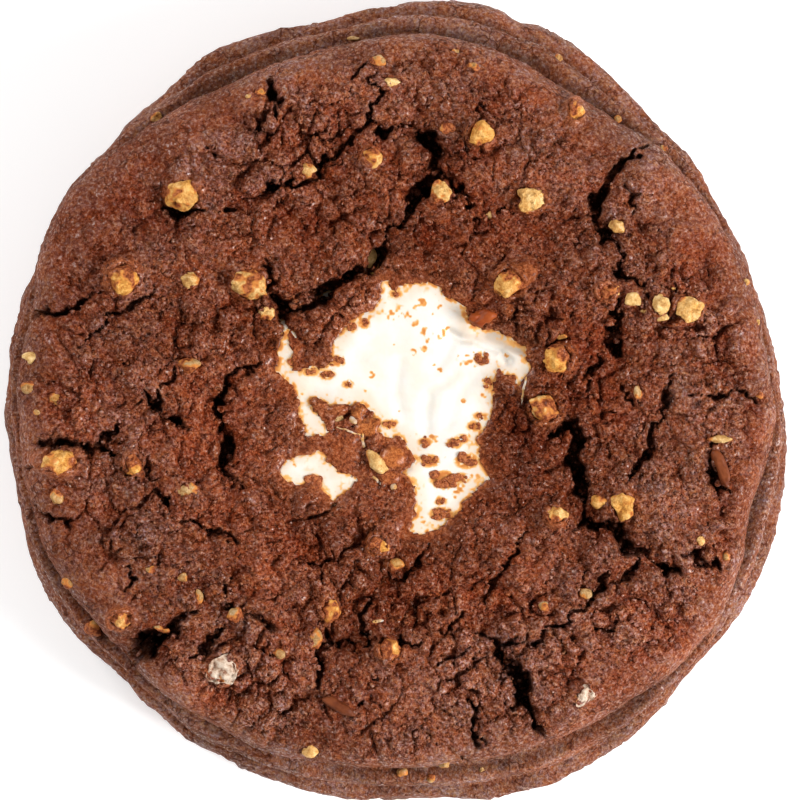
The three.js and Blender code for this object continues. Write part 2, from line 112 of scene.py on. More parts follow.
# Cracks, each a route of points with the crack's width there.
CRACKS = {
    "north_fork": [
        (-3.3, 37, 0.4), (-1.9, 36.2, 0.7), (-2.9, 33.8, 0.5), (-3.4, 32, 0.8), (-4.2, 30.8, 0.9),
        (-6.8, 28.7, 0.9), (-8.6, 27.2, 1), (-9.6, 25.6, 0.9), (-12.6, 25, 0.8), (-14.6, 24, 0.8),
        (-15.3, 23, 0.4),
    ],
    "north_tail": [(-3.9, 38.6, 0.2), (-5, 36.8, 0.3)],
    "north_wide": [
        (-2.3, 31, 0.5), (-1.1, 30.7, 0.9), (0.4, 31.2, 0.8), (2.4, 31.4, 1.3), (3.7, 30.3, 1.8),
        (4.4, 29, 1.6), (4.2, 27, 1.2), (4.6, 25.7, 1), (3.4, 24.6, 1.6), (2.2, 23.3, 1.7), (1.2, 22, 1.3),
        (0.7, 21, 0.8),
    ],
    "north_lip": [
        (0.7, 21, 0.8), (-0.3, 20.3, 1.3), (-0.6, 19.2, 0.9), (-1.6, 18, 0.8), (-1.9, 17, 0.9),
        (-2.2, 15.8, 0.9), (-2.9, 15, 1.4), (-4.6, 14.8, 1.2), (-6.6, 13.5, 1.3), (-8.4, 12.2, 1.5),
        (-10.1, 10.9, 1.2), (-12.4, 10, 1),
    ],
    "north_side": [(-12.4, 10, 0.9), (-14.1, 12, 0.9), (-14.6, 14, 0.6), (-15.6, 16, 0.4)],
    "north_foot": [(-12.4, 10, 0.9), (-12.9, 9.5, 0.8), (-12.6, 7.8, 0.3)],
    "north_beads": [(5.2, 25.3, 0.4), (6.9, 24.6, 0.8), (7.9, 22.6, 0.7), (8.9, 22.2, 0.5)],
    "east_upper": [
        (28.4, 29.4, 0.4), (27, 28.2, 0.9), (25.9, 26.7, 1.1), (24.7, 25.3, 0.8), (23.7, 23.8, 1),
        (22.7, 22.8, 1.2), (23.1, 21.5, 1), (23.2, 20, 0.8), (24.2, 19.3, 0.9), (25.2, 18, 0.8),
        (26.1, 16.5, 0.8), (25.7, 15, 0.7), (25.9, 14, 0.8), (27.7, 13.3, 0.7), (28.4, 12.3, 0.4),
    ],
    "east_twig": [(26.6, 25, 0.15), (27.3, 23.5, 0.3), (27.4, 21.8, 0.25), (27, 20.5, 0.1)],
    "east_middle": [
        (25.6, 12, 0.5), (25, 10.5, 0.9), (25.7, 9.3, 0.8), (25, 8, 1), (24.8, 6.8, 1), (25.6, 5.8, 0.8),
        (26.3, 4.8, 0.4),
    ],
    "east_branch": [(23.2, 5.3, 0.3), (23, 4, 0.6), (22.4, 2.8, 0.5), (22, 1.2, 0.3)],
    "east_short": [(26, 1.7, 0.3), (26.1, 0.4, 0.5), (27.1, -0.7, 0.5), (27.7, -1.2, 0.2)],
    "east_thread": [
        (31.9, 2.5, 0.2), (31.2, 1, 0.5), (30.2, -1.5, 0.6), (28.9, -4, 0.8), (29.3, -5.8, 0.8),
        (28.4, -7, 0.6), (27.4, -8.9, 0.9),
    ],
    "east_hair": [(33.9, 0.3, 0.2), (37.4, 0.9, 0.4), (39.1, 1.3, 0.3), (39.9, 0.4, 0.4), (42.4, 0.1, 0.3)],
    "east_wide": [
        (17.9, -3.8, 0.9), (20.6, -3.3, 1.6), (20.7, -5, 1.5), (20.2, -6.8, 1.7), (21.1, -8.2, 2.1),
        (21.4, -10, 2), (21.7, -12, 1.4), (22.2, -13.8, 1.2), (23.9, -14.2, 1.1), (25.9, -14.6, 1.2),
        (25.9, -16.7, 1.3), (27.4, -17.5, 0.6), (28.9, -17.3, 0.7), (30.2, -18.5, 1), (31.2, -19.6, 1.2),
        (32.7, -20.2, 0.3),
    ],
    "east_rim": [(32.4, -17.7, 0.3), (34.4, -18, 1), (35.9, -18.8, 0.9), (38.2, -19.8, 0.3)],
    "east_spur": [(27.7, -18.5, 0.9), (27.4, -19.5, 0.9), (26.4, -20.7, 0.3)],
    "south_lip": [
        (23.8, -20, 0.3), (23.2, -21.5, 0.7), (22.6, -22.8, 0.8), (21, -24, 0.7), (19.9, -25.4, 0.5),
        (17.7, -26.4, 0.8), (16.7, -27.3, 1.1), (14.9, -27.8, 0.7), (11.9, -28.3, 1.1), (9.4, -27.3, 0.5),
    ],
    "south_wide": [
        (11.9, -28.8, 1), (12.9, -30, 1.6), (13.9, -31, 2), (14.2, -33, 2.2), (14.9, -34.5, 2.2),
        (15.4, -36, 1.5), (16.2, -38.7, 0.6),
    ],
    "south_hair": [(8.9, -28.3, 0.3), (6.4, -29.6, 0.4), (4.7, -30.3, 0.2)],
    "south_pit": [
        (8.2, -34.3, 0.5), (9.1, -35, 0.8), (8.9, -36.5, 0.7), (9, -38.5, 0.8), (10.1, -39.6, 0.3),
    ],
    "middle_hair": [
        (4.1, -16.7, 0.2), (2.4, -18.8, 0.5), (1.6, -20, 0.5), (0.4, -21.3, 0.5), (-0.6, -20.3, 0.2),
    ],
    "south_thread": [(-2.8, -22.5, 0.2), (-3.8, -24.5, 0.6), (-3.8, -26.5, 0.7), (-2.6, -28, 0.3)],
    "south_stem": [(-8.3, -26.4, 0.4), (-8.1, -28, 0.8), (-5.6, -27.8, 0.6), (-4.6, -28, 0.3)],
    "south_leg": [(-8.6, -28.5, 0.7), (-8.9, -30.5, 0.8), (-9.1, -33.4, 0.3)],
    "south_bar": [(-1.6, -27.5, 0.5), (1.4, -27.8, 0.6), (3.2, -28.2, 0.2)],
    "west_loop": [
        (-19.4, -20.5, 0.3), (-19.9, -22, 0.7), (-19.1, -23.5, 0.8), (-17.1, -24.5, 0.6), (-15.1, -26, 0.7),
        (-13.9, -26.6, 0.3),
    ],
    "west_under": [
        (-19.8, -26.5, 0.4), (-20.9, -27.8, 0.8), (-22.1, -28.5, 0.8), (-22.5, -29.8, 0.7),
        (-24.6, -29.9, 0.3),
    ],
    "west_hollow": [
        (-23.6, -24.4, 0.5), (-25.1, -25.5, 1), (-26.6, -27.5, 1.6), (-28.6, -28, 2.4), (-29.6, -29.3, 2.4),
        (-30.9, -30.3, 0.9),
    ],
    "west_short": [(-30.6, -19.6, 0.3), (-29.9, -20.4, 0.6), (-31.1, -21.3, 0.3)],
    "west_upper": [
        (-42.6, 9.2, 0.6), (-40.6, 9.8, 0.7), (-39.1, 9.9, 0.8), (-37.6, 10.4, 0.6), (-36.1, 11.5, 0.7),
        (-34.6, 12.5, 0.3),
    ],
    "west_line": [
        (-27.6, 13.2, 0.3), (-28.6, 12, 0.6), (-30.1, 10.8, 0.6), (-31.6, 10, 0.5), (-33.1, 9.1, 0.8),
        (-34.6, 8.3, 0.6), (-37.1, 6, 0.3),
    ],
    "west_rim": [
        (-40.6, -4.6, 0.6), (-38.1, -5.2, 1), (-36.1, -5.2, 0.9), (-34.1, -4.9, 0.9), (-33.1, -5.6, 1),
        (-31.6, -6.6, 0.5),
    ],
    "west_fork": [(-34.1, -4.6, 0.6), (-33.6, -4.2, 0.7), (-31.4, -2.5, 0.3)],
    "west_middle": [
        (-30.4, 0.2, 0.6), (-28.9, 0.9, 1.1), (-27.9, -0.8, 1.2), (-26.9, -2.2, 0.9), (-25.6, -2.2, 1),
        (-23.8, -3.2, 0.5),
    ],
    "west_twig": [(-27.6, 0.6, 0.5), (-26.6, 1.5, 0.5), (-25.1, 3, 0.2)],
    "west_bend": [
        (-19.6, 2.5, 0.6), (-20.4, 0, 1.2), (-21.1, -1.5, 1.3), (-20.1, -3.2, 1.2), (-19.6, -5, 1.2),
        (-19.7, -8.2, 1.1), (-18.4, -9.2, 0.8), (-17.4, -9.6, 0.4),
    ],
    "west_tip": [(-15.9, 4.2, 0.2), (-18.3, 3, 0.5), (-19.6, 2.5, 0.6)],
    "west_notch": [(-28.5, -6.5, 0.4), (-28.4, -8.8, 0.5)],
    "west_nick": [(-31.3, -8.2, 0.4), (-30.3, -9.7, 0.5)],
    "west_dash": [(-27.9, -10.2, 0.4), (-26.1, -12.3, 0.8)],
    "west_lower": [(-24.8, -13.8, 0.4), (-22.6, -14.8, 0.8), (-20.6, -15.2, 0.8), (-17.6, -16.7, 0.3)],
    "rim_nick_a": [(-42.6, -7.6, 0.5), (-41.4, -7.5, 0.3)],
    "rim_nick_b": [(-42.6, -12.2, 0.6), (-40.5, -13.6, 0.5), (-37.6, -14, 0.3), (-38.1, -15.3, 0.2)],
    "top_bead": [(-14.1, 37, 0.4), (-14.3, 35, 1), (-13.6, 34.3, 0.5)],
    "top_thread": [(-15.3, 33.8, 0.2), (-15.6, 31.5, 0.4), (-15.1, 30, 0.2)],
    "amber_gap": [(-26.9, 22.8, 0.5), (-25.1, 21.4, 1.5), (-23.6, 21.5, 1.1), (-22.1, 21.8, 0.6)],
    "film_gap": [(-21.9, 29.3, 0.3), (-21.1, 28.4, 0.5)],
    "middle_line": [(-10.6, -14, 0.2), (-8.6, -13, 0.5), (-7.1, -12.2, 0.3)],
    "south_east": [
        (14.9, -15, 0.2), (13.9, -17, 0.5), (12.9, -19, 0.5), (10.9, -21, 0.4), (10.4, -24, 0.2),
    ],
    "east_dash": [(22.4, -26, 0.3), (24.9, -26.2, 0.5)],
    "south_tick": [(7.7, -24, 0.2), (6.4, -26, 0.5), (5.9, -27.5, 0.2)],
    "shard_shade": [(36, -5.3, 0.3), (35.8, -7.5, 0.5), (36.6, -9.9, 0.9), (38.4, -10.2, 0.4)],
}
# Small round pits: place and width.
PITS = [
    (9.3, 20.6, 0.5), (11.8, 21.8, 0.6), (7.4, -41.6, 0.5), (-4.4, -35.3, 0.5), (-2.6, -32.5, 0.5),
    (-2.6, -37.3, 0.5), (-14.1, 32.8, 0.6), (-19, 21.7, 0.7), (12.7, 41.2, 0.5),
]

# Outlines of the tear that the marshmallow shows through and of the smaller one beside it.
TEARS = [
    [
        (-1.8, 14), (-0.9, 13.8), (-0.8, 12.8), (-0.1, 12), (0.4, 12.9), (2.4, 13.3), (3.6, 13.5),
        (4.6, 13), (5.4, 12.2), (6.2, 11.3), (6.7, 11.6), (7.4, 10.7), (7.8, 10), (8, 9.2), (8.7, 8.3),
        (9.9, 7.9), (13.2, 7.6), (13.7, 6.8), (14.7, 6.1), (14.9, 5), (15.4, 3.8), (15, 3.1), (14.2, 1.5),
        (13.6, 2.8), (12.4, 3), (11.6, 3.9), (11.1, 2.7), (10.9, 0), (10.8, -1.5), (10.4, -3), (9.4, -3.7),
        (8.8, -4.5), (9.2, -5.6), (9.8, -7), (10.3, -9.3), (9.4, -9.9), (8.4, -11), (7.4, -12),
        (6.4, -13.3), (5.4, -14.5), (4.4, -14.9), (2.9, -15.2), (1.4, -15.1), (1.9, -14), (2.5, -11),
        (2.4, -9.8), (0.9, -8.6), (1.7, -7.8), (2.3, -6.6), (1.2, -5), (0.4, -4.5), (-1.1, -4.2),
        (-1.9, -3.5), (-1.9, -2.5), (-2.6, -1.6), (-3.4, -0.6), (-4.6, -0.3), (-7.6, -0.7), (-8.4, 0),
        (-9.2, 0.4), (-10, -0.1), (-9.5, -1.2), (-8.6, -2.3), (-7.9, -3), (-8.2, -4.1), (-9.8, -4.1),
        (-10.4, -3), (-11.2, -1.5), (-11.6, 1.3), (-12.6, 2.3), (-14, 3.8), (-13.6, 4.6), (-13.4, 5.8),
        (-12.7, 7.8), (-12.2, 6.2), (-11.8, 5.5), (-11.9, 3.2), (-11, 3.2), (-9.8, 3.9), (-8.6, 3.4),
        (-7.3, 4.6), (-7.3, 6.5), (-6.8, 7.4), (-5.6, 8.9), (-4.1, 9.8), (-2.8, 10.5), (-2, 11.6),
        (-1.8, 13),
    ],
    [
        (-13.4, -8.5), (-12.8, -7.2), (-11.1, -6.6), (-8.8, -6), (-8.1, -6.3), (-7.8, -7.3), (-6.6, -8.1),
        (-4.5, -9.2), (-5.2, -9.9), (-7.4, -11.4), (-8.9, -10), (-8.9, -9.3), (-9.6, -8.9), (-10.4, -9.5),
        (-11.6, -9.8),
    ],
]


def even_disc(rings):
    """A flat disc of even triangles, still six-cornered, with its corners one unit out."""
    bm = bmesh.new()
    bmesh.ops.create_circle(bm, segments=DISC_CORNERS, radius=1, cap_ends=True, cap_tris=True)
    bmesh.ops.rotate(bm, verts=bm.verts[:], matrix=Matrix.Rotation(TURN / (2 * DISC_CORNERS), 3, "Z"))
    bmesh.ops.subdivide_edges(bm, edges=bm.edges[:], cuts=rings - 1, use_grid_fill=True)
    return bm


def round_out(x, y):
    """Share of the way out and bearing of a point of the six-cornered disc, once it is made round."""
    sector = np.floor((np.arctan2(y, x) % TURN) * DISC_CORNERS / TURN)
    first, second = sector * TURN / DISC_CORNERS, (sector + 1) * TURN / DISC_CORNERS
    span = math.sin(TURN / DISC_CORNERS)
    towards_first = (x * np.sin(second) - y * np.cos(second)) / span
    towards_second = (y * np.cos(first) - x * np.sin(first)) / span
    share = towards_first + towards_second
    turned = towards_second / np.maximum(share, 1e-9)
    return share, (sector + turned) * TURN / DISC_CORNERS


def smooth_step(part):
    return part * part * (3 - 2 * part)


LATTICE_STEPS = np.array([374761393, 668265263, 974634777])  # large odd numbers that scatter a grid
LATTICE_MIX = 1274126177
WORD, SHORT_WORD = 0xFFFFFFFF, 0xFFFFFF


def lattice(cell, seed):
    """A repeatable number from 0 to 1 for each corner of a grid, flat or in space."""
    mixed = (cell @ LATTICE_STEPS[: cell.shape[1]] + seed * LATTICE_MIX) & WORD
    mixed = ((mixed ^ (mixed >> 13)) * LATTICE_MIX) & WORD
    return ((mixed ^ (mixed >> 16)) & SHORT_WORD) / SHORT_WORD


def swirl(points, size, seed):
    """Smooth unevenness from -1 to 1, with swells about size across."""
    cell = points / size
    low = np.floor(cell).astype(np.int64)
    part = smooth_step(cell - low)
    total = np.zeros(len(points))
    for corner in np.ndindex(*[2] * points.shape[1]):
        total += np.prod(np.where(corner, part, 1 - part), axis=1) * lattice(low + corner, seed)
    return 2 * total - 1


def swirls(points, *layers):
    """Swirls added up, each given by its height, its size and its seed."""
    return sum(height * swirl(points, size, seed) for height, size, seed in layers)


def packing(points, size, seed):
    """Loose packing of grains about size apart: how far the nearest and the next grain are, and
    a number from 0 to 1 for the nearest."""
    cell = points / size
    low = np.floor(cell).astype(np.int64)
    nearest, second = np.full(len(points), FAR), np.full(len(points), FAR)
    mark = np.zeros(len(points))
    for corner in np.ndindex(*[3] * points.shape[1]):
        at = low + corner - 1
        middle = at + np.stack([lattice(at, seed + axis) for axis in range(points.shape[1])], axis=1)
        away = np.linalg.norm(cell - middle, axis=1)
        closer = away < nearest
        second = np.where(closer, nearest, np.minimum(second, away))
        mark = np.where(closer, lattice(at, seed + 3), mark)
        nearest = np.where(closer, away, nearest)
    return nearest * size, second * size, mark


def warp(points, size, reach, seed):
    """Points pushed about unevenly by up to reach, so that patterns laid over them lose their order."""
    pushes = [swirl(points, size, seed + axis) for axis in range(points.shape[1])]
    return points + reach * np.stack(pushes, axis=1)


def dome(near, reach):
    """Height of a round grain, 1 over its middle and 0 from reach on."""
    return np.sqrt(np.clip(1 - (near / reach) ** 2, 0, 1))


def ease(value, low, high):
    """0 below low, 1 above high, and smooth between."""
    return smooth_step(np.clip((value - low) / (high - low), 0, 1))


def bell(value, reach):
    """1 where the value is 0, and falling off smoothly within about twice the reach."""
    return np.exp(-((value / reach) ** 2))


def flat_points(x, y):
    return np.stack([x, y], axis=1)


def swollen(radius, swells, dents, bearing):
    """A size that changes round the cookie: its mean, its even swells and its local swellings."""
    total = radius + sum(
        height * np.cos(count * (bearing - math.radians(crest))) for count, height, crest in swells
    )
    for crest, reach, height in dents:
        off = (np.degrees(bearing) - crest + 180) % 360 - 180
        total = total + height * bell(off, reach)
    return total


def foot_at(bearing):
    return swollen(FOOT_RADIUS, FOOT_SWELLS, FOOT_DENTS, bearing)


def rim_at(bearing):
    rim = swollen(RIM_RADIUS, RIM_SWELLS, RIM_DENTS, bearing)
    return np.minimum(rim, foot_at(bearing) - RIM_OVERHANG)


def top_height(x, y):
    """Height of the baked top, before it cracked."""
    bearing = np.arctan2(y, x)
    rim = rim_at(bearing)
    share = np.hypot(x, y) / rim
    edge = np.clip(1 - (1 - share) * rim / SHOULDER_REACH, 0, 1)
    fall = SHOULDER_FALL * (1 - np.sqrt(1 - edge**SHOULDER_BULGE))
    long = np.sin(x / LONG_X + LONG_START_X) * np.cos(y / LONG_Y - LONG_START_Y)
    short = np.sin((x + y) / SHORT_UP + SHORT_START) * np.cos((x - y) / SHORT_DOWN)
    swells = (LONG_SWELL * long + SHORT_SWELL * short) * (1 - edge)
    return CREST - fall - HOLLOW * bell(share, HOLLOW_REACH) + swells


def nearest_on(x, y, start, end):
    """The nearest point of a straight line: how far along it that is, from 0 to 1, and how far away."""
    (x0, y0), (x1, y1) = start, end
    length = math.hypot(x1 - x0, y1 - y0)
    along = np.clip(((x - x0) * (x1 - x0) + (y - y0) * (y1 - y0)) / length**2, 0, 1)
    return along, np.hypot(x - x0 - along * (x1 - x0), y - y0 - along * (y1 - y0))


def inside_route(x, y, route):
    """How far inside the edges of a route of points with widths each point is, and the width there."""
    margin, width = np.full(len(x), -FAR), np.zeros(len(x))
    for (*start, start_width), (*end, end_width) in zip(route, route[1:]):
        along, away = nearest_on(x, y, start, end)
        here = start_width + along * (end_width - start_width)
        better = here / 2 - away > margin
        margin = np.where(better, here / 2 - away, margin)
        width = np.where(better, here, width)
    return margin, width


def outside_outline(x, y, outline):
    """Distance of each point from a closed outline, below 0 inside it."""
    distance, inside = np.full(len(x), FAR), np.zeros(len(x), bool)
    for (x0, y0), (x1, y1) in zip(outline, outline[1:] + outline[:1]):
        distance = np.minimum(distance, nearest_on(x, y, (x0, y0), (x1, y1))[1])
        if y0 != y1:
            inside ^= ((y0 > y) != (y1 > y)) & (x < x0 + (y - y0) * (x1 - x0) / (y1 - y0))
    return np.where(inside, -distance, distance)


COARSE_RAG, COARSE_SIZE = 0.36, 1.5
FINE_RAG, FINE_SIZE = 0.27, 0.62


def ragged(x, y, reach, seed):
    """Points moved a little to and fro, so that lines drawn through them come out ragged."""
    flat = np.stack([0.8 * x - 0.6 * y, 0.6 * x + 0.8 * y, np.zeros(len(x))], axis=1)
    coarse, fine = (COARSE_RAG * reach, COARSE_SIZE), (FINE_RAG * reach, FINE_SIZE)
    return (
        x + swirls(flat, (*coarse, seed), (*fine, seed + 1)),
        y + swirls(flat, (*coarse, seed + 2), (*fine, seed + 3)),
    )


TEAR_RAG, CRACK_RAG = 0.7, 1.5  # how ragged the tears and the cracks are


def from_tears(x, y):
    """Distance outside the nearer tear, with its ragged edge, and far away wherever no tear is near."""
    outside = np.full(len(x), FAR)
    near = np.flatnonzero(np.hypot(x, y) < TEAR_REACH)
    wide_x, wide_y = ragged(x[near], y[near], TEAR_RAG, 61)
    outside[near] = np.minimum(*(outside_outline(wide_x, wide_y, tear) for tear in TEARS))
    return outside


# Creases of the marshmallow's skin: how deep, how wide, and the route.
CREASES = [
    (0.15, 0.7, [(0.4, 4.4), (-0.1, 1.5), (0.3, -1)]),
    (0.26, 0.8, [(6.6, 2.7), (3.8, 1), (3.3, -1.9), (3.4, -3.6)]),
    (0.22, 0.9, [(8.2, 2), (6.4, -0.6), (6, -2.8)]),
    (0.28, 0.9, [(6.2, 7), (5.5, 5.2), (4.7, 3.8)]),
    (0.8, 0.5, [(6, 7.8), (7.5, 7), (8.9, 6.9), (10.3, 6.2), (12, 5.6), (12.8, 4.6)]),
]


FILLING_FLATNESS, FILLING_SUNK = 0.6, 0.1  # it follows the top's middle, a little flatter and lower
FILLING_SWELLS = ((0.25, 5, 41), (0.12, 2.2, 42))
CREASE_LIP, LIP_OFF = 0.4, 1.8  # the skin swells up beside a crease
THIN_DROP = 0.7


def filling_height(x, y):
    """Height of the marshmallow's skin."""
    height = top_height(x * FILLING_FLATNESS, y * FILLING_FLATNESS) - FILLING_SUNK
    height += swirls(flat_points(x, y), *FILLING_SWELLS)
    for depth, reach, route in CREASES:
        away, _ = inside_route(x, y, [(px, py, 0) for px, py in route])
        height += depth * (CREASE_LIP * bell(away / reach - LIP_OFF, 1) - bell(away, reach))
    return height - THIN_DROP * thin_film(x, y)


def thin_film(x, y):
    """Where the marshmallow is only a stretched film: beyond its last crease."""
    return ease(0.35 * (x - 9.7) + 0.94 * (y - 6.7), -0.2, 0.7) * ease(x, 8, 10.5)


def read_vectors(source, name):
    found = np.empty(len(source) * 3)
    source.foreach_get(name, found)
    return found.reshape(-1, 3)


def read_points(mesh):
    return read_vectors(mesh.vertices, "co")


def read_normals(mesh):
    return read_vectors(mesh.vertex_normals, "vector")


def write_points(mesh, points):
    mesh.vertices.foreach_set("co", points.astype(np.float32).ravel())
    mesh.update()


def write_masks(mesh, **masks):
    """Stores a number for each point under each name, for the material to read."""
    for name, values in masks.items():
        attribute = mesh.attributes.new(name, "FLOAT", "POINT")
        values = np.broadcast_to(values, len(mesh.vertices)).astype(np.float32)
        attribute.data.foreach_set("value", values)


def shade_smooth(mesh, smooth=True):
    mesh.polygons.foreach_set("use_smooth", np.full(len(mesh.polygons), smooth))


def to_mesh(bm, name):
    mesh = bpy.data.meshes.new(name)
    bm.to_mesh(mesh)
    bm.free()
    return mesh


def skirted_disc(name, rings, skirt_rings):
    """A disc for the top, a skirt for the side and a floor, as one closed mesh. Its heights only
    number the rings: the top is at 0, and each ring of the skirt is one lower."""
    bm = even_disc(rings)
    ring = [edge for edge in bm.edges if edge.is_boundary]
    for _ in range(skirt_rings):
        made = bmesh.ops.extrude_edge_only(bm, edges=ring)["geom"]
        lowered = [part for part in made if isinstance(part, bmesh.types.BMVert)]
        bmesh.ops.translate(bm, verts=lowered, vec=(0, 0, -1))
        ring = [part for part in made if isinstance(part, bmesh.types.BMEdge) and part.is_boundary]
    bmesh.ops.contextual_create(bm, geom=ring)
    bmesh.ops.recalc_face_normals(bm, faces=bm.faces[:])
    return to_mesh(bm, name)


def rolls_at(down):
    """The rolls of the side, rounded: height, lean and the two tucks at each share of the way down."""
    steps = np.linspace(0, 1, ROLL_STEPS)
    knots = np.linspace(0, 1, len(SIDE_ROLLS))
    window = np.hanning(ROLL_WINDOW) / np.hanning(ROLL_WINDOW).sum()
    rolls = []
    for values in zip(*SIDE_ROLLS):
        track = np.pad(np.interp(steps, knots, values), ROLL_WINDOW // 2, mode="edge")
        rolls.append(np.interp(down, steps, np.convolve(track, window, "valid")))
    return rolls


def upper_fold_at(bearing):
    return swollen(UPPER_FOLD, [], UPPER_SWELLS, bearing)


def lower_fold_at(bearing):
    return swollen(LOWER_FOLD, [], LOWER_SWELLS, bearing)


def blank_points(points):
    """The dough's form before it cracked: where each point of the sheet goes."""
    share, bearing = round_out(points[:, 0], points[:, 1])
    ring = -np.round(points[:, 2])
    rim, foot = rim_at(bearing), foot_at(bearing)
    down = np.clip(ring / SKIRT_RINGS, 0, 1)
    rise, lean, upper, lower = rolls_at(down)
    tuck = upper * upper_fold_at(bearing) + lower * lower_fold_at(bearing)
    curve = FOOT_CURVE * np.clip(1 - rise / FOOT_HEIGHT, 0, 1) ** 2
    wander = FOLD_WANDER * np.sin(2 * bearing + FOLD_DETAIL * rise) * np.clip(4 * down, 0, 1)
    rim_height = top_height(rim * np.cos(bearing), rim * np.sin(bearing))
    inwards = np.clip((ring - SKIRT_RINGS) / (BASE_RINGS + 1), 0, 1)
    radius = (rim + lean * (foot - rim) - tuck - curve) * (1 - inwards)
    radius = np.where(ring > 0, radius, share * rim)
    x, y = radius * np.cos(bearing), radius * np.sin(bearing)
    height = np.where(ring > 0, np.where(inwards > 0, 0, rise * (rim_height + wander)), top_height(x, y))
    return np.stack([x, y, height], axis=1), ring


def creases_at(down, bearing):
    """How deep in the crease of a fold, from 0 to 1."""
    upper = upper_fold_at(bearing) * bell(down - UPPER_CREASE[0], UPPER_CREASE[1])
    lower = lower_fold_at(bearing) * bell(down - LOWER_CREASE[0], LOWER_CREASE[1])
    return np.clip(np.maximum(upper, lower), 0, 1)


# The crumb, from coarse to fine, in millimetres: plates of dried crust with splits between them, clods
# with gaps between them, and grains.
PLATE_SIZE, PLATE_HEIGHT, SPLIT_WIDTH, SPLIT_DEPTH = 4.6, 0.7, 0.28, 1.2
CLOD_SIZE, CLOD_REACH, CLOD_HEIGHT, CLOD_LEVEL, GAP_WIDTH, GAP_DEPTH = 2.1, 1.4, 1.3, 0.5, 0.25, 0.75
GRAIN_SIZE, GRAIN_REACH, GRAIN_HEIGHT, GRAIN_LEVEL = 1.0, 0.66, 0.46, 0.23
CRUMB_SWELLS = ((0.5, 7, 51), (0.3, 3.1, 52))
JAGGED = 0.14
FIRM_SWELLS, FIRM_GRAINS = 0.35, 0.12  # what is left of the swells and the grains where the dough is firm


def crumb_relief(skin, looseness):
    """How far the crumb stands out of the smooth dough, and how deep the gaps between crumbs are."""
    bent = warp(warp(skin, 2.4, 0.8, 11), 0.8, 0.35, 13)
    near, second, mark = packing(bent, PLATE_SIZE, 20)
    split = bell(second - near, SPLIT_WIDTH) * ease(swirl(skin, 4, 24), -0.3, 0.4)
    plates = PLATE_HEIGHT * (mark - 0.5) - SPLIT_DEPTH * split
    near, second, mark = packing(bent, CLOD_SIZE, 30)
    gap = bell(second - near, GAP_WIDTH) * ease(swirl(skin, 2, 34), -0.2, 0.5)
    clods = CLOD_HEIGHT * mark * dome(near, CLOD_REACH) - CLOD_LEVEL - GAP_DEPTH * gap
    near, second, mark = packing(warp(skin, 0.7, 0.3, 17), GRAIN_SIZE, 40)
    grains = GRAIN_HEIGHT * (0.1 + 0.9 * mark) * dome(near, GRAIN_REACH) - GRAIN_LEVEL
    relief = (FIRM_SWELLS + (1 - FIRM_SWELLS) * looseness) * swirls(skin, *CRUMB_SWELLS)
    relief += looseness * (plates + clods)
    relief += (FIRM_GRAINS + (1 - FIRM_GRAINS) * looseness) * (grains + JAGGED * swirl(skin, 0.5, 53))
    return relief, looseness * np.clip(0.5 * split + 0.4 * gap, 0, 1)


# Smooth blobs of dough that bubbled up beside the tear and elsewhere: place, length, width, height,
# and how far each turned to caramel.
BLOBS = [
    (-4.45, -1.3, 1, 0.9, 0.5, 1), (-3.3, -3.1, 1.6, 1.2, 0.4, 1), (-8.9, -0.5, 1.1, 1, 0.4, 0.6),
    (-7, -1.2, 1.4, 0.6, 0.4, 0.8), (-0.4, -6.6, 1.6, 1.4, 0.7, 1), (0.7, -8, 1, 0.9, 0.4, 0.8),
    (-5.8, -5.6, 1.9, 2.4, 0.3, 0.5), (-0.9, -8.9, 1.3, 0.8, 0.4, 0.9), (14.7, 14.6, 1.6, 1.3, 0.6, 0.7),
    (10.3, 9.6, 1.3, 1, 0.5, 0.2), (12.9, 10.4, 0.8, 0.7, 0.5, 0.6), (40.3, -8.4, 1.7, 1.5, 0.35, 0.25),
]
# Each lump of biscuit, in the order of its name: how toasted it is (0 cream, 1 amber, below 0 white),
# how much of it the dough has filmed over, and the bearing of its barest side.
LUMP_FINISH = [
    (0.75, 0.3, -90), (0.3, 0.22, -70), (0.9, 0.55, -30), (0.75, 0.4, 30), (0.4, 0.35, 90),
    (0.7, 0.5, -130), (0.9, 0.45, 180), (0.4, 0.25, 0), (0.15, 0.2, 0), (0.3, 0.55, 130), (0.75, 0.2, -60),
    (0.5, 0.62, 60), (0.75, 0.45, 90), (0.85, 0.45, 0), (0.8, 0.5, 0), (0.9, 0.78, 60), (0.45, 0.7, -40),
    (-1, 0.02, 0), (0.85, 0.45, 0), (0.6, 0.65, 0), (0.9, 0.65, 0), (-1, 0.08, 90), (0.3, 0.25, 0),
    (0.5, 0.35, 0),
]
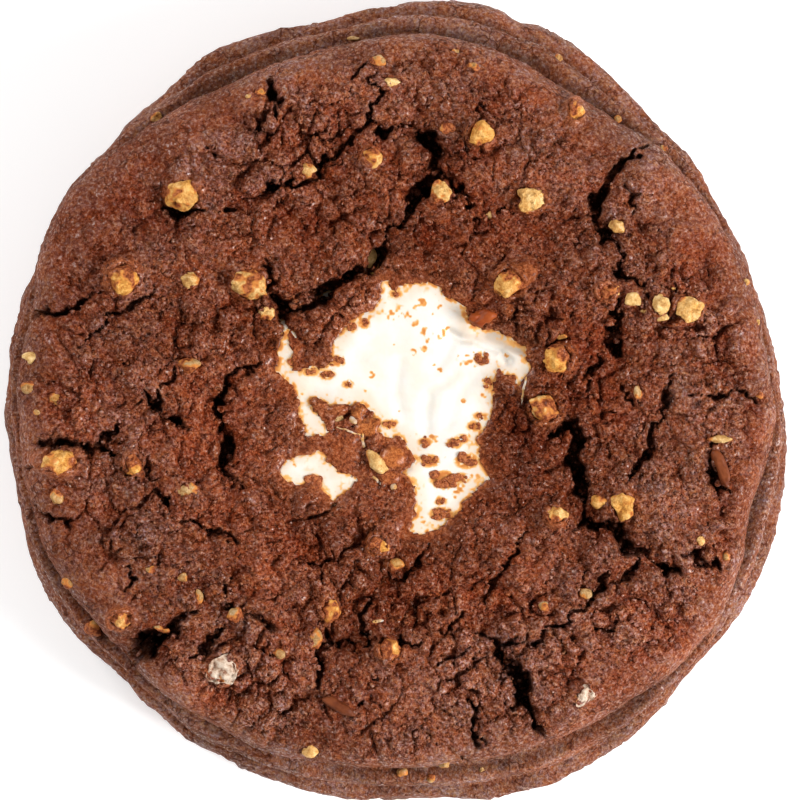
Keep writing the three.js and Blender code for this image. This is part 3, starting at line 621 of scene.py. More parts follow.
# Broad parts of the top that baked moister and darker (below 0) or drier and paler: place, reach, amount.
TONES = [
    (13, -2, 8, -0.5), (-12, 20, 5, -0.24), (3, 18, 5, -0.34), (-1, 28, 7, 0.1), (-19, 26, 4, -0.1),
    (-27, 27, 7, -0.12), (-10, 37, 6, -0.12), (-34, 19, 7, -0.28), (2, 42, 8, 0.12), (31.5, 12.5, 4, 0.33),
    (34, 2, 7, 0.06), (36, 20, 5, -0.15), (19, -12, 5, -0.1), (31, -9, 4.5, 0.3), (38, -12, 4, -0.12),
    (32, -22, 8, 0.08), (24, -17, 3, -0.2), (27, -27, 5, 0.1), (9, -38, 6, 0.08), (7, -24, 6, 0.22),
    (6, -33, 7, 0.06), (6, -44, 5, 0.28), (-21, -27, 10, 0.25), (-18, -35, 6, 0.22), (-30, -29, 4, -0.2),
    (-12.5, -13, 6, -0.26), (5, -16.5, 5, -0.34), (22, 6, 6, -0.15), (-38, 5, 6, -0.14), (30, 26, 6, 0.1),
    (-13, 6, 4, -0.2), (-9, 42, 5, 0.15), (-12.5, 28, 3.5, 0.2), (-12.5, 13, 3, 0.2), (9.6, -10, 4, -0.18),
    (24, -24, 3.5, 0.2), (24, -9, 3.5, 0.14), (-20, -31, 4, 0.14), (17, -31, 4, 0.18), (25, -32, 3.5, -0.2),
]
# The lumps bedded in the top: middle, half their size, how filmed over, and the bearing of the barest side.
BEDDED = []
LUMP_NAMES = sorted(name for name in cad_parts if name.startswith("biscuit_lump"))
for node, (_, filmed, barest) in zip(LUMP_NAMES, LUMP_FINISH):
    low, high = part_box(node)
    middle, half = (low + high) / 2 / MM, (high - low) / 2 / MM
    BEDDED.append((middle.x, middle.y, half.x, half.y, filmed, math.radians(barest)))


RIM_TONE, RIM_TONE_FROM, RIM_TONE_TO = -0.12, 36, 41  # the top is darker towards its rim
MOIST_WITHIN, DRY_BEYOND = 23, 34


def tone_at(x, y):
    tone = RIM_TONE * ease(np.hypot(x, y), RIM_TONE_FROM, RIM_TONE_TO)
    for px, py, reach, amount in TONES:
        tone += amount * bell(np.hypot(x - px, y - py), reach)
    return tone


def moist_at(radius):
    """How moist the dough stayed, most in the middle."""
    return 1 - ease(radius, MOIST_WITHIN, DRY_BEYOND)


def smooth_rim_at(bearing):
    return swollen(SMOOTH_RIM, [], SMOOTH_SWELLS, bearing)


CARAMEL_GAIN = 1.1


def blobs_over(x, y):
    """Height of the smooth blobs, and how far they turned to caramel."""
    height, caramel = np.zeros(len(x)), np.zeros(len(x))
    for px, py, length, width, tall, glazed in BLOBS:
        here = dome(np.hypot((x - px) / length, (y - py) / width), 1)
        height = np.maximum(height, tall * here)
        caramel = np.maximum(caramel, CARAMEL_GAIN * glazed * np.minimum(2 * here, 1))
    return height, caramel


COLLAR_HEIGHT, COLLAR_REACH = 0.25, 0.3
FILMED_RISE, BARE_FALL = 0.9, 0.7  # how filming over raises a collar, and its bare side lowers it


def collars(x, y):
    """Dough drawn up round each bedded lump, higher away from its barest side."""
    height = np.zeros(len(x))
    uneven = swirls(flat_points(x, y), (0.5, 1.3, 77), (0.5, 0.6, 78))
    for px, py, length, width, filmed, barest in BEDDED:
        away = np.hypot((x - px) / length, (y - py) / width) + 0.12 * uneven
        bare = np.cos(np.arctan2(y - py, x - px) - barest)
        tall = COLLAR_HEIGHT + filmed * (FILMED_RISE - BARE_FALL * bare) + 0.3 * uneven
        height = np.maximum(height, tall * bell(away - 1, COLLAR_REACH))
    return height


SYRUP_EDGE, SYRUP_REACH, SYRUP_FAINT = 0.45, 2.4, 0.36  # soaked at a tear, and fainter further off


def film_at(x, y, outside):
    """How much syrup has soaked the dough: near the tears, given the distance from them, and on the
    blobs."""
    beside = np.maximum(outside, 0) + 0.5 * swirl(flat_points(x, y), 1.1, 92)
    film = np.maximum(bell(beside, SYRUP_EDGE), SYRUP_FAINT * bell(beside, SYRUP_REACH))
    return np.maximum(film, blobs_over(x, y)[1])


CRACK_DEPTH, DEPTH_BY_WIDTH, DEEPEST_WALL = 1.2, 2.8, 9
CRACK_STEEPNESS, CRACK_SPARE = 10, 0.06  # how steep its walls are, and how far out they start
PINCH, PINCH_LIMIT = 0.42, 1.2  # how much its width varies
LIP_DEPTH, LIP_REACH = 0.45, 0.8  # the dough sags towards a crack
NEAR_REACH = 1.6  # how far a crack loosens the crumb beside it
ROUTE_REACH = 5  # nothing further from a route than this is changed by it


def cracks_at(x, y):
    """How deep the cracks are at each point, and how near the closest of them is, from 0 to 1."""
    depth, nearness = np.zeros(len(x)), np.zeros(len(x))
    flat = flat_points(x, y)
    pinch, rubble = swirl(flat, 2.1, 85), swirls(flat, (1, 1.2, 86), (0.6, 0.6, 87))
    wide_x, wide_y = ragged(x, y, CRACK_RAG, 81)
    for route in [*CRACKS.values(), *([(px, py, width), (px + 0.1, py, width)] for px, py, width in PITS)]:
        near = np.ones(len(x), bool)
        for value, along in ((x, [point[0] for point in route]), (y, [point[1] for point in route])):
            near &= (value > min(along) - ROUTE_REACH) & (value < max(along) + ROUTE_REACH)
        near = np.flatnonzero(near)
        margin, width = inside_route(wide_x[near], wide_y[near], route)
        margin = margin + PINCH * np.minimum(width, PINCH_LIMIT) * pinch[near]
        floor = (CRACK_DEPTH + DEPTH_BY_WIDTH * width) * np.clip(0.8 + 0.55 * rubble[near], 0.2, 1.2)
        beyond, strength = np.minimum(margin, 0), np.clip(width, 0, 1)
        lip = LIP_DEPTH * np.exp(beyond / LIP_REACH) * strength
        inside = np.minimum(np.clip(margin + CRACK_SPARE, 0, DEEPEST_WALL) * CRACK_STEEPNESS, floor)
        depth[near] = np.maximum(depth[near], inside + lip)
        nearness[near] = np.maximum(nearness[near], np.exp(beyond / NEAR_REACH) * strength)
    return depth, nearness


LEAST_LOOSE, LEAST_BROKEN = 0.12, 0.35  # how loose the crumb is where it is firmest
SIDE_ROUGHNESS = ((0.2, 1.3, 71), (0.12, 0.6, 72))
CREASE_WANDER = ((0.02, 3, 77), (0.01, 1, 78))
BASE_RELIEF = 0.2
SIDE_CRACK_DEPTH, CREASE_DEPTH = 1.8, 0.5
RELIEF_RANGE = 2.6  # from the deepest to the highest crumb
TORN_REACH = 2.2  # how far from a tear its edge thins down to the marshmallow
TORN_THICKNESS, TORN_DROP, TORN_STEEPNESS = 0.12, 0.6, 3
# Cracks and the folds' creases get painted shade, at its fullest from this depth.
DEEPEST_SHADE = 3  # a crack this deep is quite dark
KEPT_WITHIN = -0.8  # points further inside a tear than this may be dropped


def dough_mesh():
    """The dough's mesh, and which of its points may be dropped."""
    mesh = skirted_disc("cocoa_dough", DOUGH_RINGS, SKIRT_RINGS + BASE_RINGS)
    points, ring = blank_points(read_points(mesh))
    write_points(mesh, points)
    normals = read_normals(mesh)
    x, y = points[:, 0], points[:, 1]
    bearing = np.arctan2(y, x)
    rim = rim_at(bearing)
    on_top = ring == 0

    # The skin laid flat: the top as it lies, with the side spread out around it.
    spread = np.where(on_top, np.hypot(x, y), rim + SIDE_SPREAD * np.clip(ring / SKIRT_RINGS, 0, 2))
    skin = flat_points(spread * np.cos(bearing), spread * np.sin(bearing))
    from_rim = rim - spread
    hollow, nearness = cracks_at(skin[:, 0], skin[:, 1])
    uneven = ease(swirls(skin, (1, 8, 75), (0.5, 3.5, 76)), -0.5, 0.5)
    looseness = ease(from_rim, 0, smooth_rim_at(bearing))
    looseness *= np.maximum(LEAST_BROKEN + (1 - LEAST_BROKEN) * uneven, nearness)
    looseness = LEAST_LOOSE + (1 - LEAST_LOOSE) * np.clip(looseness, 0, 1)
    relief, gaps = crumb_relief(skin, looseness)
    around = flat_points(rim * bearing / 4, spread)
    relief += np.where(ring > 0, swirls(around, *SIDE_ROUGHNESS), 0)
    relief = np.where(ring > SKIRT_RINGS, BASE_RELIEF * np.minimum(relief, 0), relief)
    raised = 0.5 + relief / RELIEF_RANGE
    blob, collar = blobs_over(x, y)[0], collars(x, y)
    relief = np.where(on_top, relief * (1 - np.clip(2 * blob, 0, 0.8)) + blob + collar, relief)

    # Cracks go straight down in the top, and straight in where they run on down the side. The folds'
    # creases go in too.
    sideways = ease(-from_rim, -2.5, 0)[:, None]
    hollow = np.where(on_top, hollow, np.minimum(hollow, SIDE_CRACK_DEPTH) * ease(from_rim, -6, -2))
    down = ring / SKIRT_RINGS + swirls(skin, *CREASE_WANDER)
    crease = creases_at(down, bearing) * ~on_top
    hollow = np.maximum(hollow, CREASE_DEPTH * crease)
    moved = points + normals * relief[:, None]
    moved -= hollow[:, None] * (sideways * normals + (1 - sideways) * np.array([0, 0, 1]))

    # Round the tears the dough thins out onto the marshmallow, and inside them it drops away under it.
    outside = from_tears(x, y)
    filling = filling_height(x, y)
    thinned = filling + TORN_THICKNESS + 0.1 * swirl(points, 0.8, 91) + 1.2 * blob
    dropped = filling - TORN_DROP - TORN_STEEPNESS * np.clip(-outside, 0, 1)
    thin = (1 - ease(outside, 0, TORN_REACH)) * on_top
    height = moved[:, 2] * (1 - thin) + np.minimum(thinned, moved[:, 2] + 1) * thin
    height = np.where(on_top & (outside < 0), dropped, height)
    moved[:, 2] = np.maximum(height, FLOOR_CLEARANCE)

    write_points(mesh, moved * MM)
    write_masks(
        mesh,
        # hollow: painted shade in the cracks and the folds' creases.
        hollow=np.maximum(np.clip(hollow / DEEPEST_SHADE, 0, 1), 0.9 * crease),
        # gaps: painted shade in the gaps between the crumb's plates and clods.
        gaps=gaps,
        # raised: low places get painted shade and raised ones painted light.
        raised=np.clip(raised, 0, 1),
        film=np.maximum(film_at(x, y, outside), np.clip(1.2 * collar, 0, 0.85)) * on_top,
        # side: where the painted sheen of glancing light goes.
        side=ease(-from_rim, -3, 1.5),
        tone=tone_at(x, y),
        moist=moist_at(spread),
        loose=looseness,
    )
    shade_smooth(mesh)
    return mesh, ~on_top | (outside < KEPT_WITHIN)


def add_piece(name, mesh):
    piece = bpy.data.objects.new(name, mesh)
    bpy.context.scene.collection.objects.link(piece)
    return piece


def thin_out(piece, triangles, plain):
    """Leaves the piece about that many triangles. Only points marked plain are dropped."""
    piece.data.calc_loop_triangles()
    group = piece.vertex_groups.new(name="plain")
    group.add(np.flatnonzero(plain).tolist(), 1.0, "REPLACE")
    thinner = piece.modifiers.new("thinner", "DECIMATE")
    thinner.vertex_group = group.name
    thinner.ratio = min(1, triangles / len(piece.data.loop_triangles))
    drawn = piece.evaluated_get(bpy.context.evaluated_depsgraph_get())
    mesh = bpy.data.meshes.new_from_object(drawn)
    piece.modifiers.remove(thinner)
    piece.vertex_groups.clear()
    old, piece.data = piece.data, mesh
    bpy.data.meshes.remove(old)


mesh, plain = dough_mesh()
dough = add_piece("cocoa_dough", mesh)
thin_out(dough, DOUGH_TRIANGLES, plain)
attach(dough, "root")
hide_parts("cookie_dough")


class Paint:
    """A material's node tree, with short ways to add and join its nodes."""

    def __init__(self, tree):
        self.tree = tree

    def feed(self, node, sockets):
        """Joins each named socket to another node's output, or sets it on the node itself."""
        for name, value in sockets.items():
            socket = node.inputs[name]
            if isinstance(value, bpy.types.NodeSocket):
                self.tree.links.new(value, socket)
            elif socket.type == "RGBA":
                socket.default_value = (*value, 1)
            else:
                socket.default_value = value

    def add(self, kind, sockets, **settings):
        node = self.tree.nodes.new(kind)
        for name, value in settings.items():
            setattr(node, name, value)
        self.feed(node, sockets)
        return node

    def mask(self, name):
        return self.add("ShaderNodeAttribute", {}, attribute_name=name).outputs["Fac"]

    def place(self):
        return self.add("ShaderNodeTexCoord", {}).outputs["Object"]

    def noise(self, vector, scale, detail=3, roughness=0.6, output="Fac"):
        sockets = {"Vector": vector, "Scale": scale, "Detail": detail, "Roughness": roughness}
        return self.add("ShaderNodeTexNoise", sockets).outputs[output]

    def pushed(self, vector, push, reach):
        """The places pushed about by coloured noise, by up to half the reach each way."""
        sockets = {0: push, 1: (reach, reach, reach), 2: vector}
        return self.add("ShaderNodeVectorMath", sockets, operation="MULTIPLY_ADD").outputs[0]

    def ramp(self, value, *stops):
        node = self.add("ShaderNodeValToRGB", {"Fac": value})
        while len(node.color_ramp.elements) < len(stops):
            node.color_ramp.elements.new(0.5)
        for element, (position, colour) in zip(node.color_ramp.elements, stops):
            element.position = position
            element.color = (*colour, 1)
        return node.outputs["Color"]

    def blend(self, amount, first, second, mode="MIX"):
        sockets = {0: amount, 6: first, 7: second}
        return self.add("ShaderNodeMix", sockets, data_type="RGBA", blend_type=mode).outputs[2]

    def tint(self, colour, by):
        return self.blend(1.0, colour, by, "MULTIPLY")

    def maths(self, operation, *values):
        return self.add("ShaderNodeMath", dict(enumerate(values)), operation=operation).outputs[0]

    def times(self, first, second):
        return self.maths("MULTIPLY", first, second)

    def times_plus(self, value, factor, added):
        return self.maths("MULTIPLY_ADD", value, factor, added)

    def span(self, value, low, high):
        """0 at low, 1 at high, and smooth between."""
        sockets = {"Value": value, "From Min": low, "From Max": high}
        return self.add("ShaderNodeMapRange", sockets, interpolation_type="SMOOTHSTEP").outputs["Result"]

    def bump(self, height, distance):
        return self.add("ShaderNodeBump", {"Height": height, "Distance": distance}).outputs["Normal"]


def new_material(name):
    material = bpy.data.materials.new(name)
    material.use_nodes = True
    shader = material.node_tree.nodes["Principled BSDF"]
    return material, Paint(material.node_tree), shader


def grey(value):
    return (value, value, value)


def granule_group():
    """Granules one size across. It gives their height, where the dough has dried, the few that glint,
    and how each patch and each granule differs in tint and hue."""
    tree = bpy.data.node_groups.new("granules", "ShaderNodeTree")
    for name, kind in (("Place", "NodeSocketVector"), ("Size", "NodeSocketFloat")):
        tree.interface.new_socket(name, in_out="INPUT", socket_type=kind)
    paint = Paint(tree)
    given = paint.add("NodeGroupInput", {}).outputs
    sockets = {0: given["Place"], 1: given["Size"]}
    place = paint.add("ShaderNodeVectorMath", sockets, operation="DIVIDE").outputs[0]
    push = paint.noise(place, 1.1, 2, 0.7, "Color")
    cells = {"Vector": paint.pushed(place, push, 2.4), "Scale": 1.0, "Randomness": 1.0}
    clod = paint.add("ShaderNodeTexVoronoi", cells).outputs["Distance"]
    top = paint.maths("SUBTRACT", 1, paint.maths("POWER", clod, 2))
    broken = paint.times_plus(paint.noise(place, 1.3, 3, 0.72), 2.3, -0.65)
    height = paint.times_plus(top, 0.3, paint.times(broken, 0.7))
    flecks = paint.span(paint.noise(place, 1.3, 1, 0.7), 0.58, 0.68)
    given_out = {
        "Height": height,
        "Dried": paint.span(paint.noise(place, 0.16, 4, 0.7), 0.42, 0.62),
        "Glint": paint.times(flecks, paint.span(height, 0.5, 0.7)),
        "Tint": paint.noise(place, 0.3, 3, 0.7),
        "Hue": paint.add("ShaderNodeSeparateXYZ", {"Vector": push}).outputs["X"],
    }
    for name in given_out:
        tree.interface.new_socket(name, in_out="OUTPUT", socket_type="NodeSocketFloat")
    paint.add("NodeGroupOutput", given_out)
    return tree


granules = granule_group()
GRANULE = 0.0005


def granules_on(paint, size):
    return paint.add("ShaderNodeGroup", {"Place": paint.place(), "Size": size}, node_tree=granules).outputs


# Colours of the crumb from its gaps to its tops, each at the height it is reached at. Beside the crumb's own
# tones, the dark low end is painted shade in the gaps and the light high end painted light on the tops; the
# syrup and caramel browns below run the same way.
MOIST_BROWNS = (
    (0.42, (0.065, 0.0125, 0.0045)),
    (0.515, (0.165, 0.035, 0.0145)),
    (0.576, (0.22, 0.059, 0.028)),
    (0.64, (0.27, 0.088, 0.049)),
    (0.75, (0.345, 0.146, 0.095)),
)
DRY_BROWNS = (
    (0.42, (0.085, 0.021, 0.011)),
    (0.515, (0.175, 0.053, 0.03)),
    (0.576, (0.227, 0.082, 0.05)),
    (0.64, (0.275, 0.115, 0.076)),
    (0.75, (0.36, 0.175, 0.13)),
)
SYRUP_BROWNS = ((0.45, (0.17, 0.037, 0.01)), (0.6, (0.38, 0.1, 0.028)), (0.75, (0.5, 0.16, 0.05)))
CARAMELS = ((0.45, (0.32, 0.075, 0.016)), (0.6, (0.54, 0.16, 0.036)), (0.75, (0.62, 0.21, 0.06)))
MIDDLE_HEIGHT = 0.576
# Tints that the browns are multiplied by. The side's tint is a painted sheen of light glancing off the side,
# and the relief's tints are painted shade in low places and painted light on raised ones.
ORANGE_TINT, SIDE_PAINTED_SHEEN = (1.09, 1.05, 0.88), (1.05, 1.29, 1.46)
OUTER_TINT, MOIST_TINT = (1.04, 1.19, 1.32), (1.01, 0.95, 0.87)
HUES = ((0.36, (0.92, 1.04, 1.32)), (0.5, grey(1)), (0.64, (1.08, 0.97, 0.68)))
RELIEF_PAINTED_SHADING = ((0.2, (0.84, 0.61, 0.52)), (0.5, (0.99, 0.97, 0.95)), (0.8, (1.12, 1.28, 1.55)))
CLOUDS = ((0.36, (0.76, 0.74, 0.72)), (0.64, grey(1.2)))
TONE_TINTS = ((0, (0.5, 0.34, 0.27)), (0.5, grey(1)), (1, (1.5, 1.66, 1.73)))
CRAZE_BROWN, GLINT_BROWN = (0.06, 0.014, 0.006), (0.36, 0.19, 0.14)
# Painted shade: for the gaps between clods, and for the cracks and creases.
GAP_PAINTED_SHADE, CRACK_PAINTED_SHADE = (0.016, 0.004, 0.002), (0.014, 0.004, 0.002)
CRAZE_SCALE, CRAZE_PUSH, CRAZE_PUSH_SCALE = 480, 0.0022, 700  # scales are in swells to the metre
CRAZE_RUNS_SCALE, CLOUD_SCALE = 260, 95


def crazing(paint, loose):
    """Hair cracks in short runs, over the smooth parts."""
    push = paint.noise(paint.place(), CRAZE_PUSH_SCALE, 1, 0.5, "Color")
    cells = {"Vector": paint.pushed(paint.place(), push, CRAZE_PUSH), "Scale": CRAZE_SCALE}
    edge = paint.add("ShaderNodeTexVoronoi", cells, feature="DISTANCE_TO_EDGE").outputs["Distance"]
    runs = paint.span(paint.noise(paint.place(), CRAZE_RUNS_SCALE, 1), 0.48, 0.56)
    craze = paint.times(paint.maths("SUBTRACT", 1, paint.span(edge, 0.012, 0.055)), runs)
    return paint.times(craze, paint.times_plus(loose, -0.7, 0.9))


def baked_dough():
    material, paint, shader = new_material("baked_cocoa_dough")
    crumb = granules_on(paint, GRANULE)
    loose, film, raised = paint.mask("loose"), paint.mask("film"), paint.mask("raised")
    contrast = paint.times_plus(loose, 0.34, 0.36)
    from_middle = paint.maths("SUBTRACT", crumb["Height"], MIDDLE_HEIGHT)
    height = paint.times_plus(from_middle, contrast, MIDDLE_HEIGHT)
    dried = paint.times(crumb["Dried"], paint.times_plus(loose, -0.55, 1))
    brown = paint.blend(dried, paint.ramp(height, *MOIST_BROWNS), paint.ramp(height, *DRY_BROWNS))
    brown = paint.blend(paint.span(crumb["Tint"], 0.4, 0.66), brown, paint.tint(brown, ORANGE_TINT))
    brown = paint.tint(brown, paint.ramp(crumb["Hue"], *HUES))
    # Painted shade in the low places of the relief, painted light on the raised ones.
    brown = paint.tint(brown, paint.ramp(raised, *RELIEF_PAINTED_SHADING))
    brown = paint.tint(brown, paint.ramp(paint.noise(paint.place(), CLOUD_SCALE, 2), *CLOUDS))
    # Painted sheen of light glancing off the side.
    brown = paint.blend(paint.mask("side"), brown, paint.tint(brown, SIDE_PAINTED_SHEEN))
    brown = paint.tint(brown, paint.blend(paint.mask("moist"), OUTER_TINT, MOIST_TINT))
    brown = paint.tint(brown, paint.ramp(paint.maths("ADD", paint.mask("tone"), 0.5), *TONE_TINTS))
    brown = paint.blend(crazing(paint, loose), brown, CRAZE_BROWN)
    brown = paint.blend(paint.times(crumb["Glint"], 0.25), brown, GLINT_BROWN)
    brown = paint.blend(paint.times(film, 0.75), brown, paint.ramp(height, *SYRUP_BROWNS))
    brown = paint.blend(paint.span(film, 0.9, 1.25), brown, paint.ramp(height, *CARAMELS))
    # Painted shade in the gaps between plates and clods.
    brown = paint.blend(paint.times(paint.mask("gaps"), 0.75), brown, GAP_PAINTED_SHADE)
    # Painted shade in the cracks and the folds' creases.
    brown = paint.blend(paint.times(paint.mask("hollow"), 0.75), brown, CRACK_PAINTED_SHADE)
    tops = paint.times(paint.span(height, 0.54, 0.72), 0.25)
    shiny = paint.times_plus(crumb["Glint"], 0.5, tops)
    shiny = paint.times(shiny, paint.span(raised, 0.2, 0.7))
    paint.feed(shader, {
        "Base Color": brown,
        "Roughness": paint.ramp(crumb["Glint"], (0, grey(0.6)), (1, grey(0.3))),
        "Specular IOR Level": 0.02,
        "Coat Weight": paint.maths("ADD", shiny, paint.times(film, 0.3)),
        "Coat Roughness": 0.3,
        "Normal": paint.bump(height, 0.0005),
    })
    return material


cocoa = baked_dough()
dough.data.materials.append(cocoa)

# ---- Cocoa crumbs ----------------------------------------------------------------------------
# Crumbs of the same dough that broke loose as the top dried and still sit on it, thickest where it
# is most broken. They were never shaped, so each is a rough little ball, and each of the three sizes is one
# piece.

CRUMB_SHAPES = 12
CRUMB_PROPORTIONS = [1, 0.8, 0.65]
STREWN_REACH = 42
TEAR_CLEARANCE, BEDDED_SHARE = 1.1, 0.08  # none lies this near a tear; how far each stands off the dough
DROP_HEIGHT = 0.04  # metres, above everything on the cookie
dough_top = BVHTree.FromObject(dough, bpy.context.evaluated_depsgraph_get())


def crumb_shapes(faces_level, seed):
    """A few rough balls one unit across: their points, and the faces that they share."""
    bm = bmesh.new()
    bmesh.ops.create_icosphere(bm, subdivisions=faces_level, radius=0.5)
    ball = to_mesh(bm, "crumb_ball")
    points = read_points(ball)
    faces = np.array([face.vertices[:] for face in ball.polygons])
    bpy.data.meshes.remove(ball)
    shapes = []
    for index in range(CRUMB_SHAPES):
        bulge = 1 + 0.5 * swirl(points + seed + 5 * index, 0.4, seed)
        shapes.append(points * bulge[:, None] * CRUMB_PROPORTIONS)
    return np.array(shapes), faces


def turned_at_random(count, rng):
    """Rotation matrices in every direction."""
    q = rng.normal(size=(count, 4))
    w, x, y, z = (q / np.linalg.norm(q, axis=1)[:, None]).T
    rows = [
        [1 - 2 * (y * y + z * z), 2 * (x * y - z * w), 2 * (x * z + y * w)],
        [2 * (x * y + z * w), 1 - 2 * (x * x + z * z), 2 * (y * z - x * w)],
        [2 * (x * z - y * w), 2 * (y * z + x * w), 1 - 2 * (x * x + y * y)],
    ]
    return np.array(rows).transpose(2, 0, 1)


def joined_crumbs(name, places, sizes, faces_level, seed):
    """One mesh of rough balls of the given sizes, in millimetres, at the given places."""
    rng = np.random.default_rng(seed)
    shapes, faces = crumb_shapes(faces_level, seed)
    turned = turned_at_random(len(places), rng)
    chosen = shapes[rng.integers(0, CRUMB_SHAPES, len(places))]
    points = np.einsum("nij,nvj->nvi", turned, chosen) * np.array(sizes)[:, None, None]
    points = (points + np.array(places)[:, None, :]).reshape(-1, 3)
    firsts = np.arange(len(places))[:, None, None] * shapes.shape[1]
    mesh = bpy.data.meshes.new(name)
    mesh.from_pydata((points * MM).tolist(), [], (faces[None] + firsts).reshape(-1, 3).tolist())
    x, y = points[:, 0], points[:, 1]
    film = film_at(x, y, from_tears(x, y))
    write_masks(mesh, loose=0.9, raised=0.6, film=film, tone=tone_at(x, y), moist=moist_at(np.hypot(x, y)))
    shade_smooth(mesh, faces_level > 1)
    return mesh


def landed(x, y):
    """Where something dropped at x, y comes to rest on the dough, and which way the dough faces there.
    None where it misses."""
    hit, normal, _, _ = dough_top.ray_cast(Vector((x * MM, y * MM, DROP_HEIGHT)), Vector((0, 0, -1)))
    return None if hit is None else (np.array(hit) / MM, np.array(normal))


def crumb_places(spacing, smallest, largest, seed):
    """Places and sizes of crumbs strewn over the broken parts of the top."""
    rng = np.random.default_rng(seed)
    steps = np.arange(-STREWN_REACH, STREWN_REACH, spacing)
    x, y = (part.ravel() for part in np.meshgrid(steps, steps))
    x = x + rng.uniform(-0.5, 0.5, len(x)) * spacing
    y = y + rng.uniform(-0.5, 0.5, len(y)) * spacing
    flat = np.stack([x, y, np.zeros(len(x))], axis=1)
    bearing = np.arctan2(y, x)
    from_rim = rim_at(bearing) - np.hypot(x, y)
    broken = ease(from_rim, 0.4 * smooth_rim_at(bearing), 1.1 * smooth_rim_at(bearing) + 1)
    likely = broken * (0.4 + 0.6 * ease(swirl(flat, 3.2, seed), -0.5, 0.4))
    kept = (rng.random(len(x)) < likely) & (from_tears(x, y) > TEAR_CLEARANCE) & (blobs_over(x, y)[0] < 0.1)
    places, sizes = [], []
    for px, py in zip(x[kept], y[kept]):
        rest = landed(px, py)
        if rest is None:
            continue
        size = smallest + (largest - smallest) * rng.random() ** 2
        places.append(rest[0] + rest[1] * size * BEDDED_SHARE)
        sizes.append(size)
    return places, sizes


# Name, spacing, smallest and largest size, how finely each is faced, and the seed.
for crumb_name, spacing, smallest, largest, faces_level, seed in (
    ("cocoa_crumbs_dust", 0.62, 0.25, 0.5, 1, 301),
    ("cocoa_crumbs_fine", 0.85, 0.4, 0.75, 1, 302),
    ("cocoa_crumbs_middling", 2.1, 0.7, 1.2, 2, 303),
):
    places, sizes = crumb_places(spacing, smallest, largest, seed)
    crumbs = add_piece(crumb_name, joined_crumbs(crumb_name, places, sizes, faces_level, seed))
    crumbs.data.materials.append(cocoa)
    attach(crumbs, "root")

# ---- Marshmallow -----------------------------------------------------------------------------
# The filling: marshmallow that melted, rose through the torn top and set again in soft folds. It
# is one slab that lies in the dough's hollow and shows through both tears.

FILLING_RINGS = 130
FILLING_REACH = 17.0
FILLING_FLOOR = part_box("marshmallow_filling")[0].z / MM

# Cocoa stains on the skin: place and reach.
STAINS = [
    (-1.4, 10.3, 0.7), (-0.5, 10, 0.6), (0.2, 10.5, 0.5), (-3.7, 9.6, 0.6), (2.9, 11.2, 0.4),
    (2.2, 10.6, 0.25), (5.1, 11.4, 0.2), (5.2, 10.5, 0.4), (1.3, 9.8, 0.4), (2, 9, 0.4), (3.3, 8, 0.3),
    (3, 7.5, 0.3), (3.5, 6.9, 0.25), (3.1, 5.9, 0.3), (1.9, 5.5, 0.3), (4.9, 7.6, 0.55), (-0.3, 6.3, 0.12),
    (-1.8, 5.8, 0.12), (-2.9, 2.9, 0.3), (5.1, 3.6, 0.3), (4.3, 4.1, 0.15), (7.7, 4.7, 0.6),
    (8.5, 4.8, 0.4), (8.7, 5.6, 0.2), (9.1, 4, 0.25), (9.9, 2.1, 0.25), (10.1, 0.6, 0.3), (7.7, -0.1, 0.2),
    (1.7, 0.3, 0.15), (0.2, -1.3, 0.15), (2.4, -4.1, 0.25), (4, -4.2, 0.2), (4.5, -4.5, 0.3),
    (4.2, 9.8, 0.15), (5.6, -6.7, 0.15), (-10.9, 0.9, 0.2), (-7.9, 0.7, 0.2), (-6.2, 0, 0.25),
    (-11.8, -7.6, 0.2), (3, -13.8, 0.3), (12.7, 5.2, 0.2), (6.8, -10.9, 0.4), (9.1, -8.5, 0.5),
    (5.9, 8.2, 0.2), (8.9, -3.9, 0.5), (7.2, -4.4, 0.6), (7.4, -10, 0.4), (-3.6, 1.1, 0.12),
    (4.6, 12.6, 0.15),
]

# Crumbs caught in the skin: place, length, width and bearing.
CAUGHT_CRUMBS = [
    (-6.9, 4.5, 1.5, 0.9, 10), (-5.2, 8.4, 1, 0.9, 0), (-3.7, 8.8, 1, 0.8, 20), (-5.6, 1.8, 0.8, 0.6, 0),
    (-0.7, -2.8, 1.4, 0.8, 25), (3.3, -4.8, 1.1, 0.8, -50), (3.8, -7, 1.7, 1.1, 0),
    (5.5, -9.2, 2.7, 1.8, 5), (7.4, -9, 1.4, 0.8, -15), (8.1, -7, 2.2, 1.5, -20), (6.6, -5, 1.3, 0.9, 0),
    (7.6, -4.5, 1.1, 0.7, 25), (9, -3, 1.2, 0.8, 10), (9.7, -1.9, 1.1, 0.6, 75), (9.8, 4.8, 1.3, 1.2, 0),
    (5.1, -11.6, 0.9, 0.7, 0), (5.2, -13.1, 2.2, 1.2, 0), (-0.1, 12.2, 0.9, 0.6, 80),
    (-9.6, -9.5, 1.8, 1.5, 0), (-12, 4.4, 1, 0.7, 20), (-9.9, 3.3, 1.4, 0.7, 20), (-8, 2.9, 1.3, 0.8, 0),
    (10.6, 1.9, 0.8, 1.2, 0), (10.2, -6, 0.9, 0.6, 50),
]


EDGE_SINK, DIVE = 0.3, 5  # it sinks a little under the torn edge, and further in dives to its floor
EDGE_STAIN, EDGE_STAIN_REACH = 0.9, 0.22
FAINT_EDGE, FAINT_EDGE_REACH = 0.6, 0.9
SPOT_STAIN, SPOT_SPREAD, SPOT_CORE = 0.92, 1.7, 1.1
TOASTED_REACH = 1.3


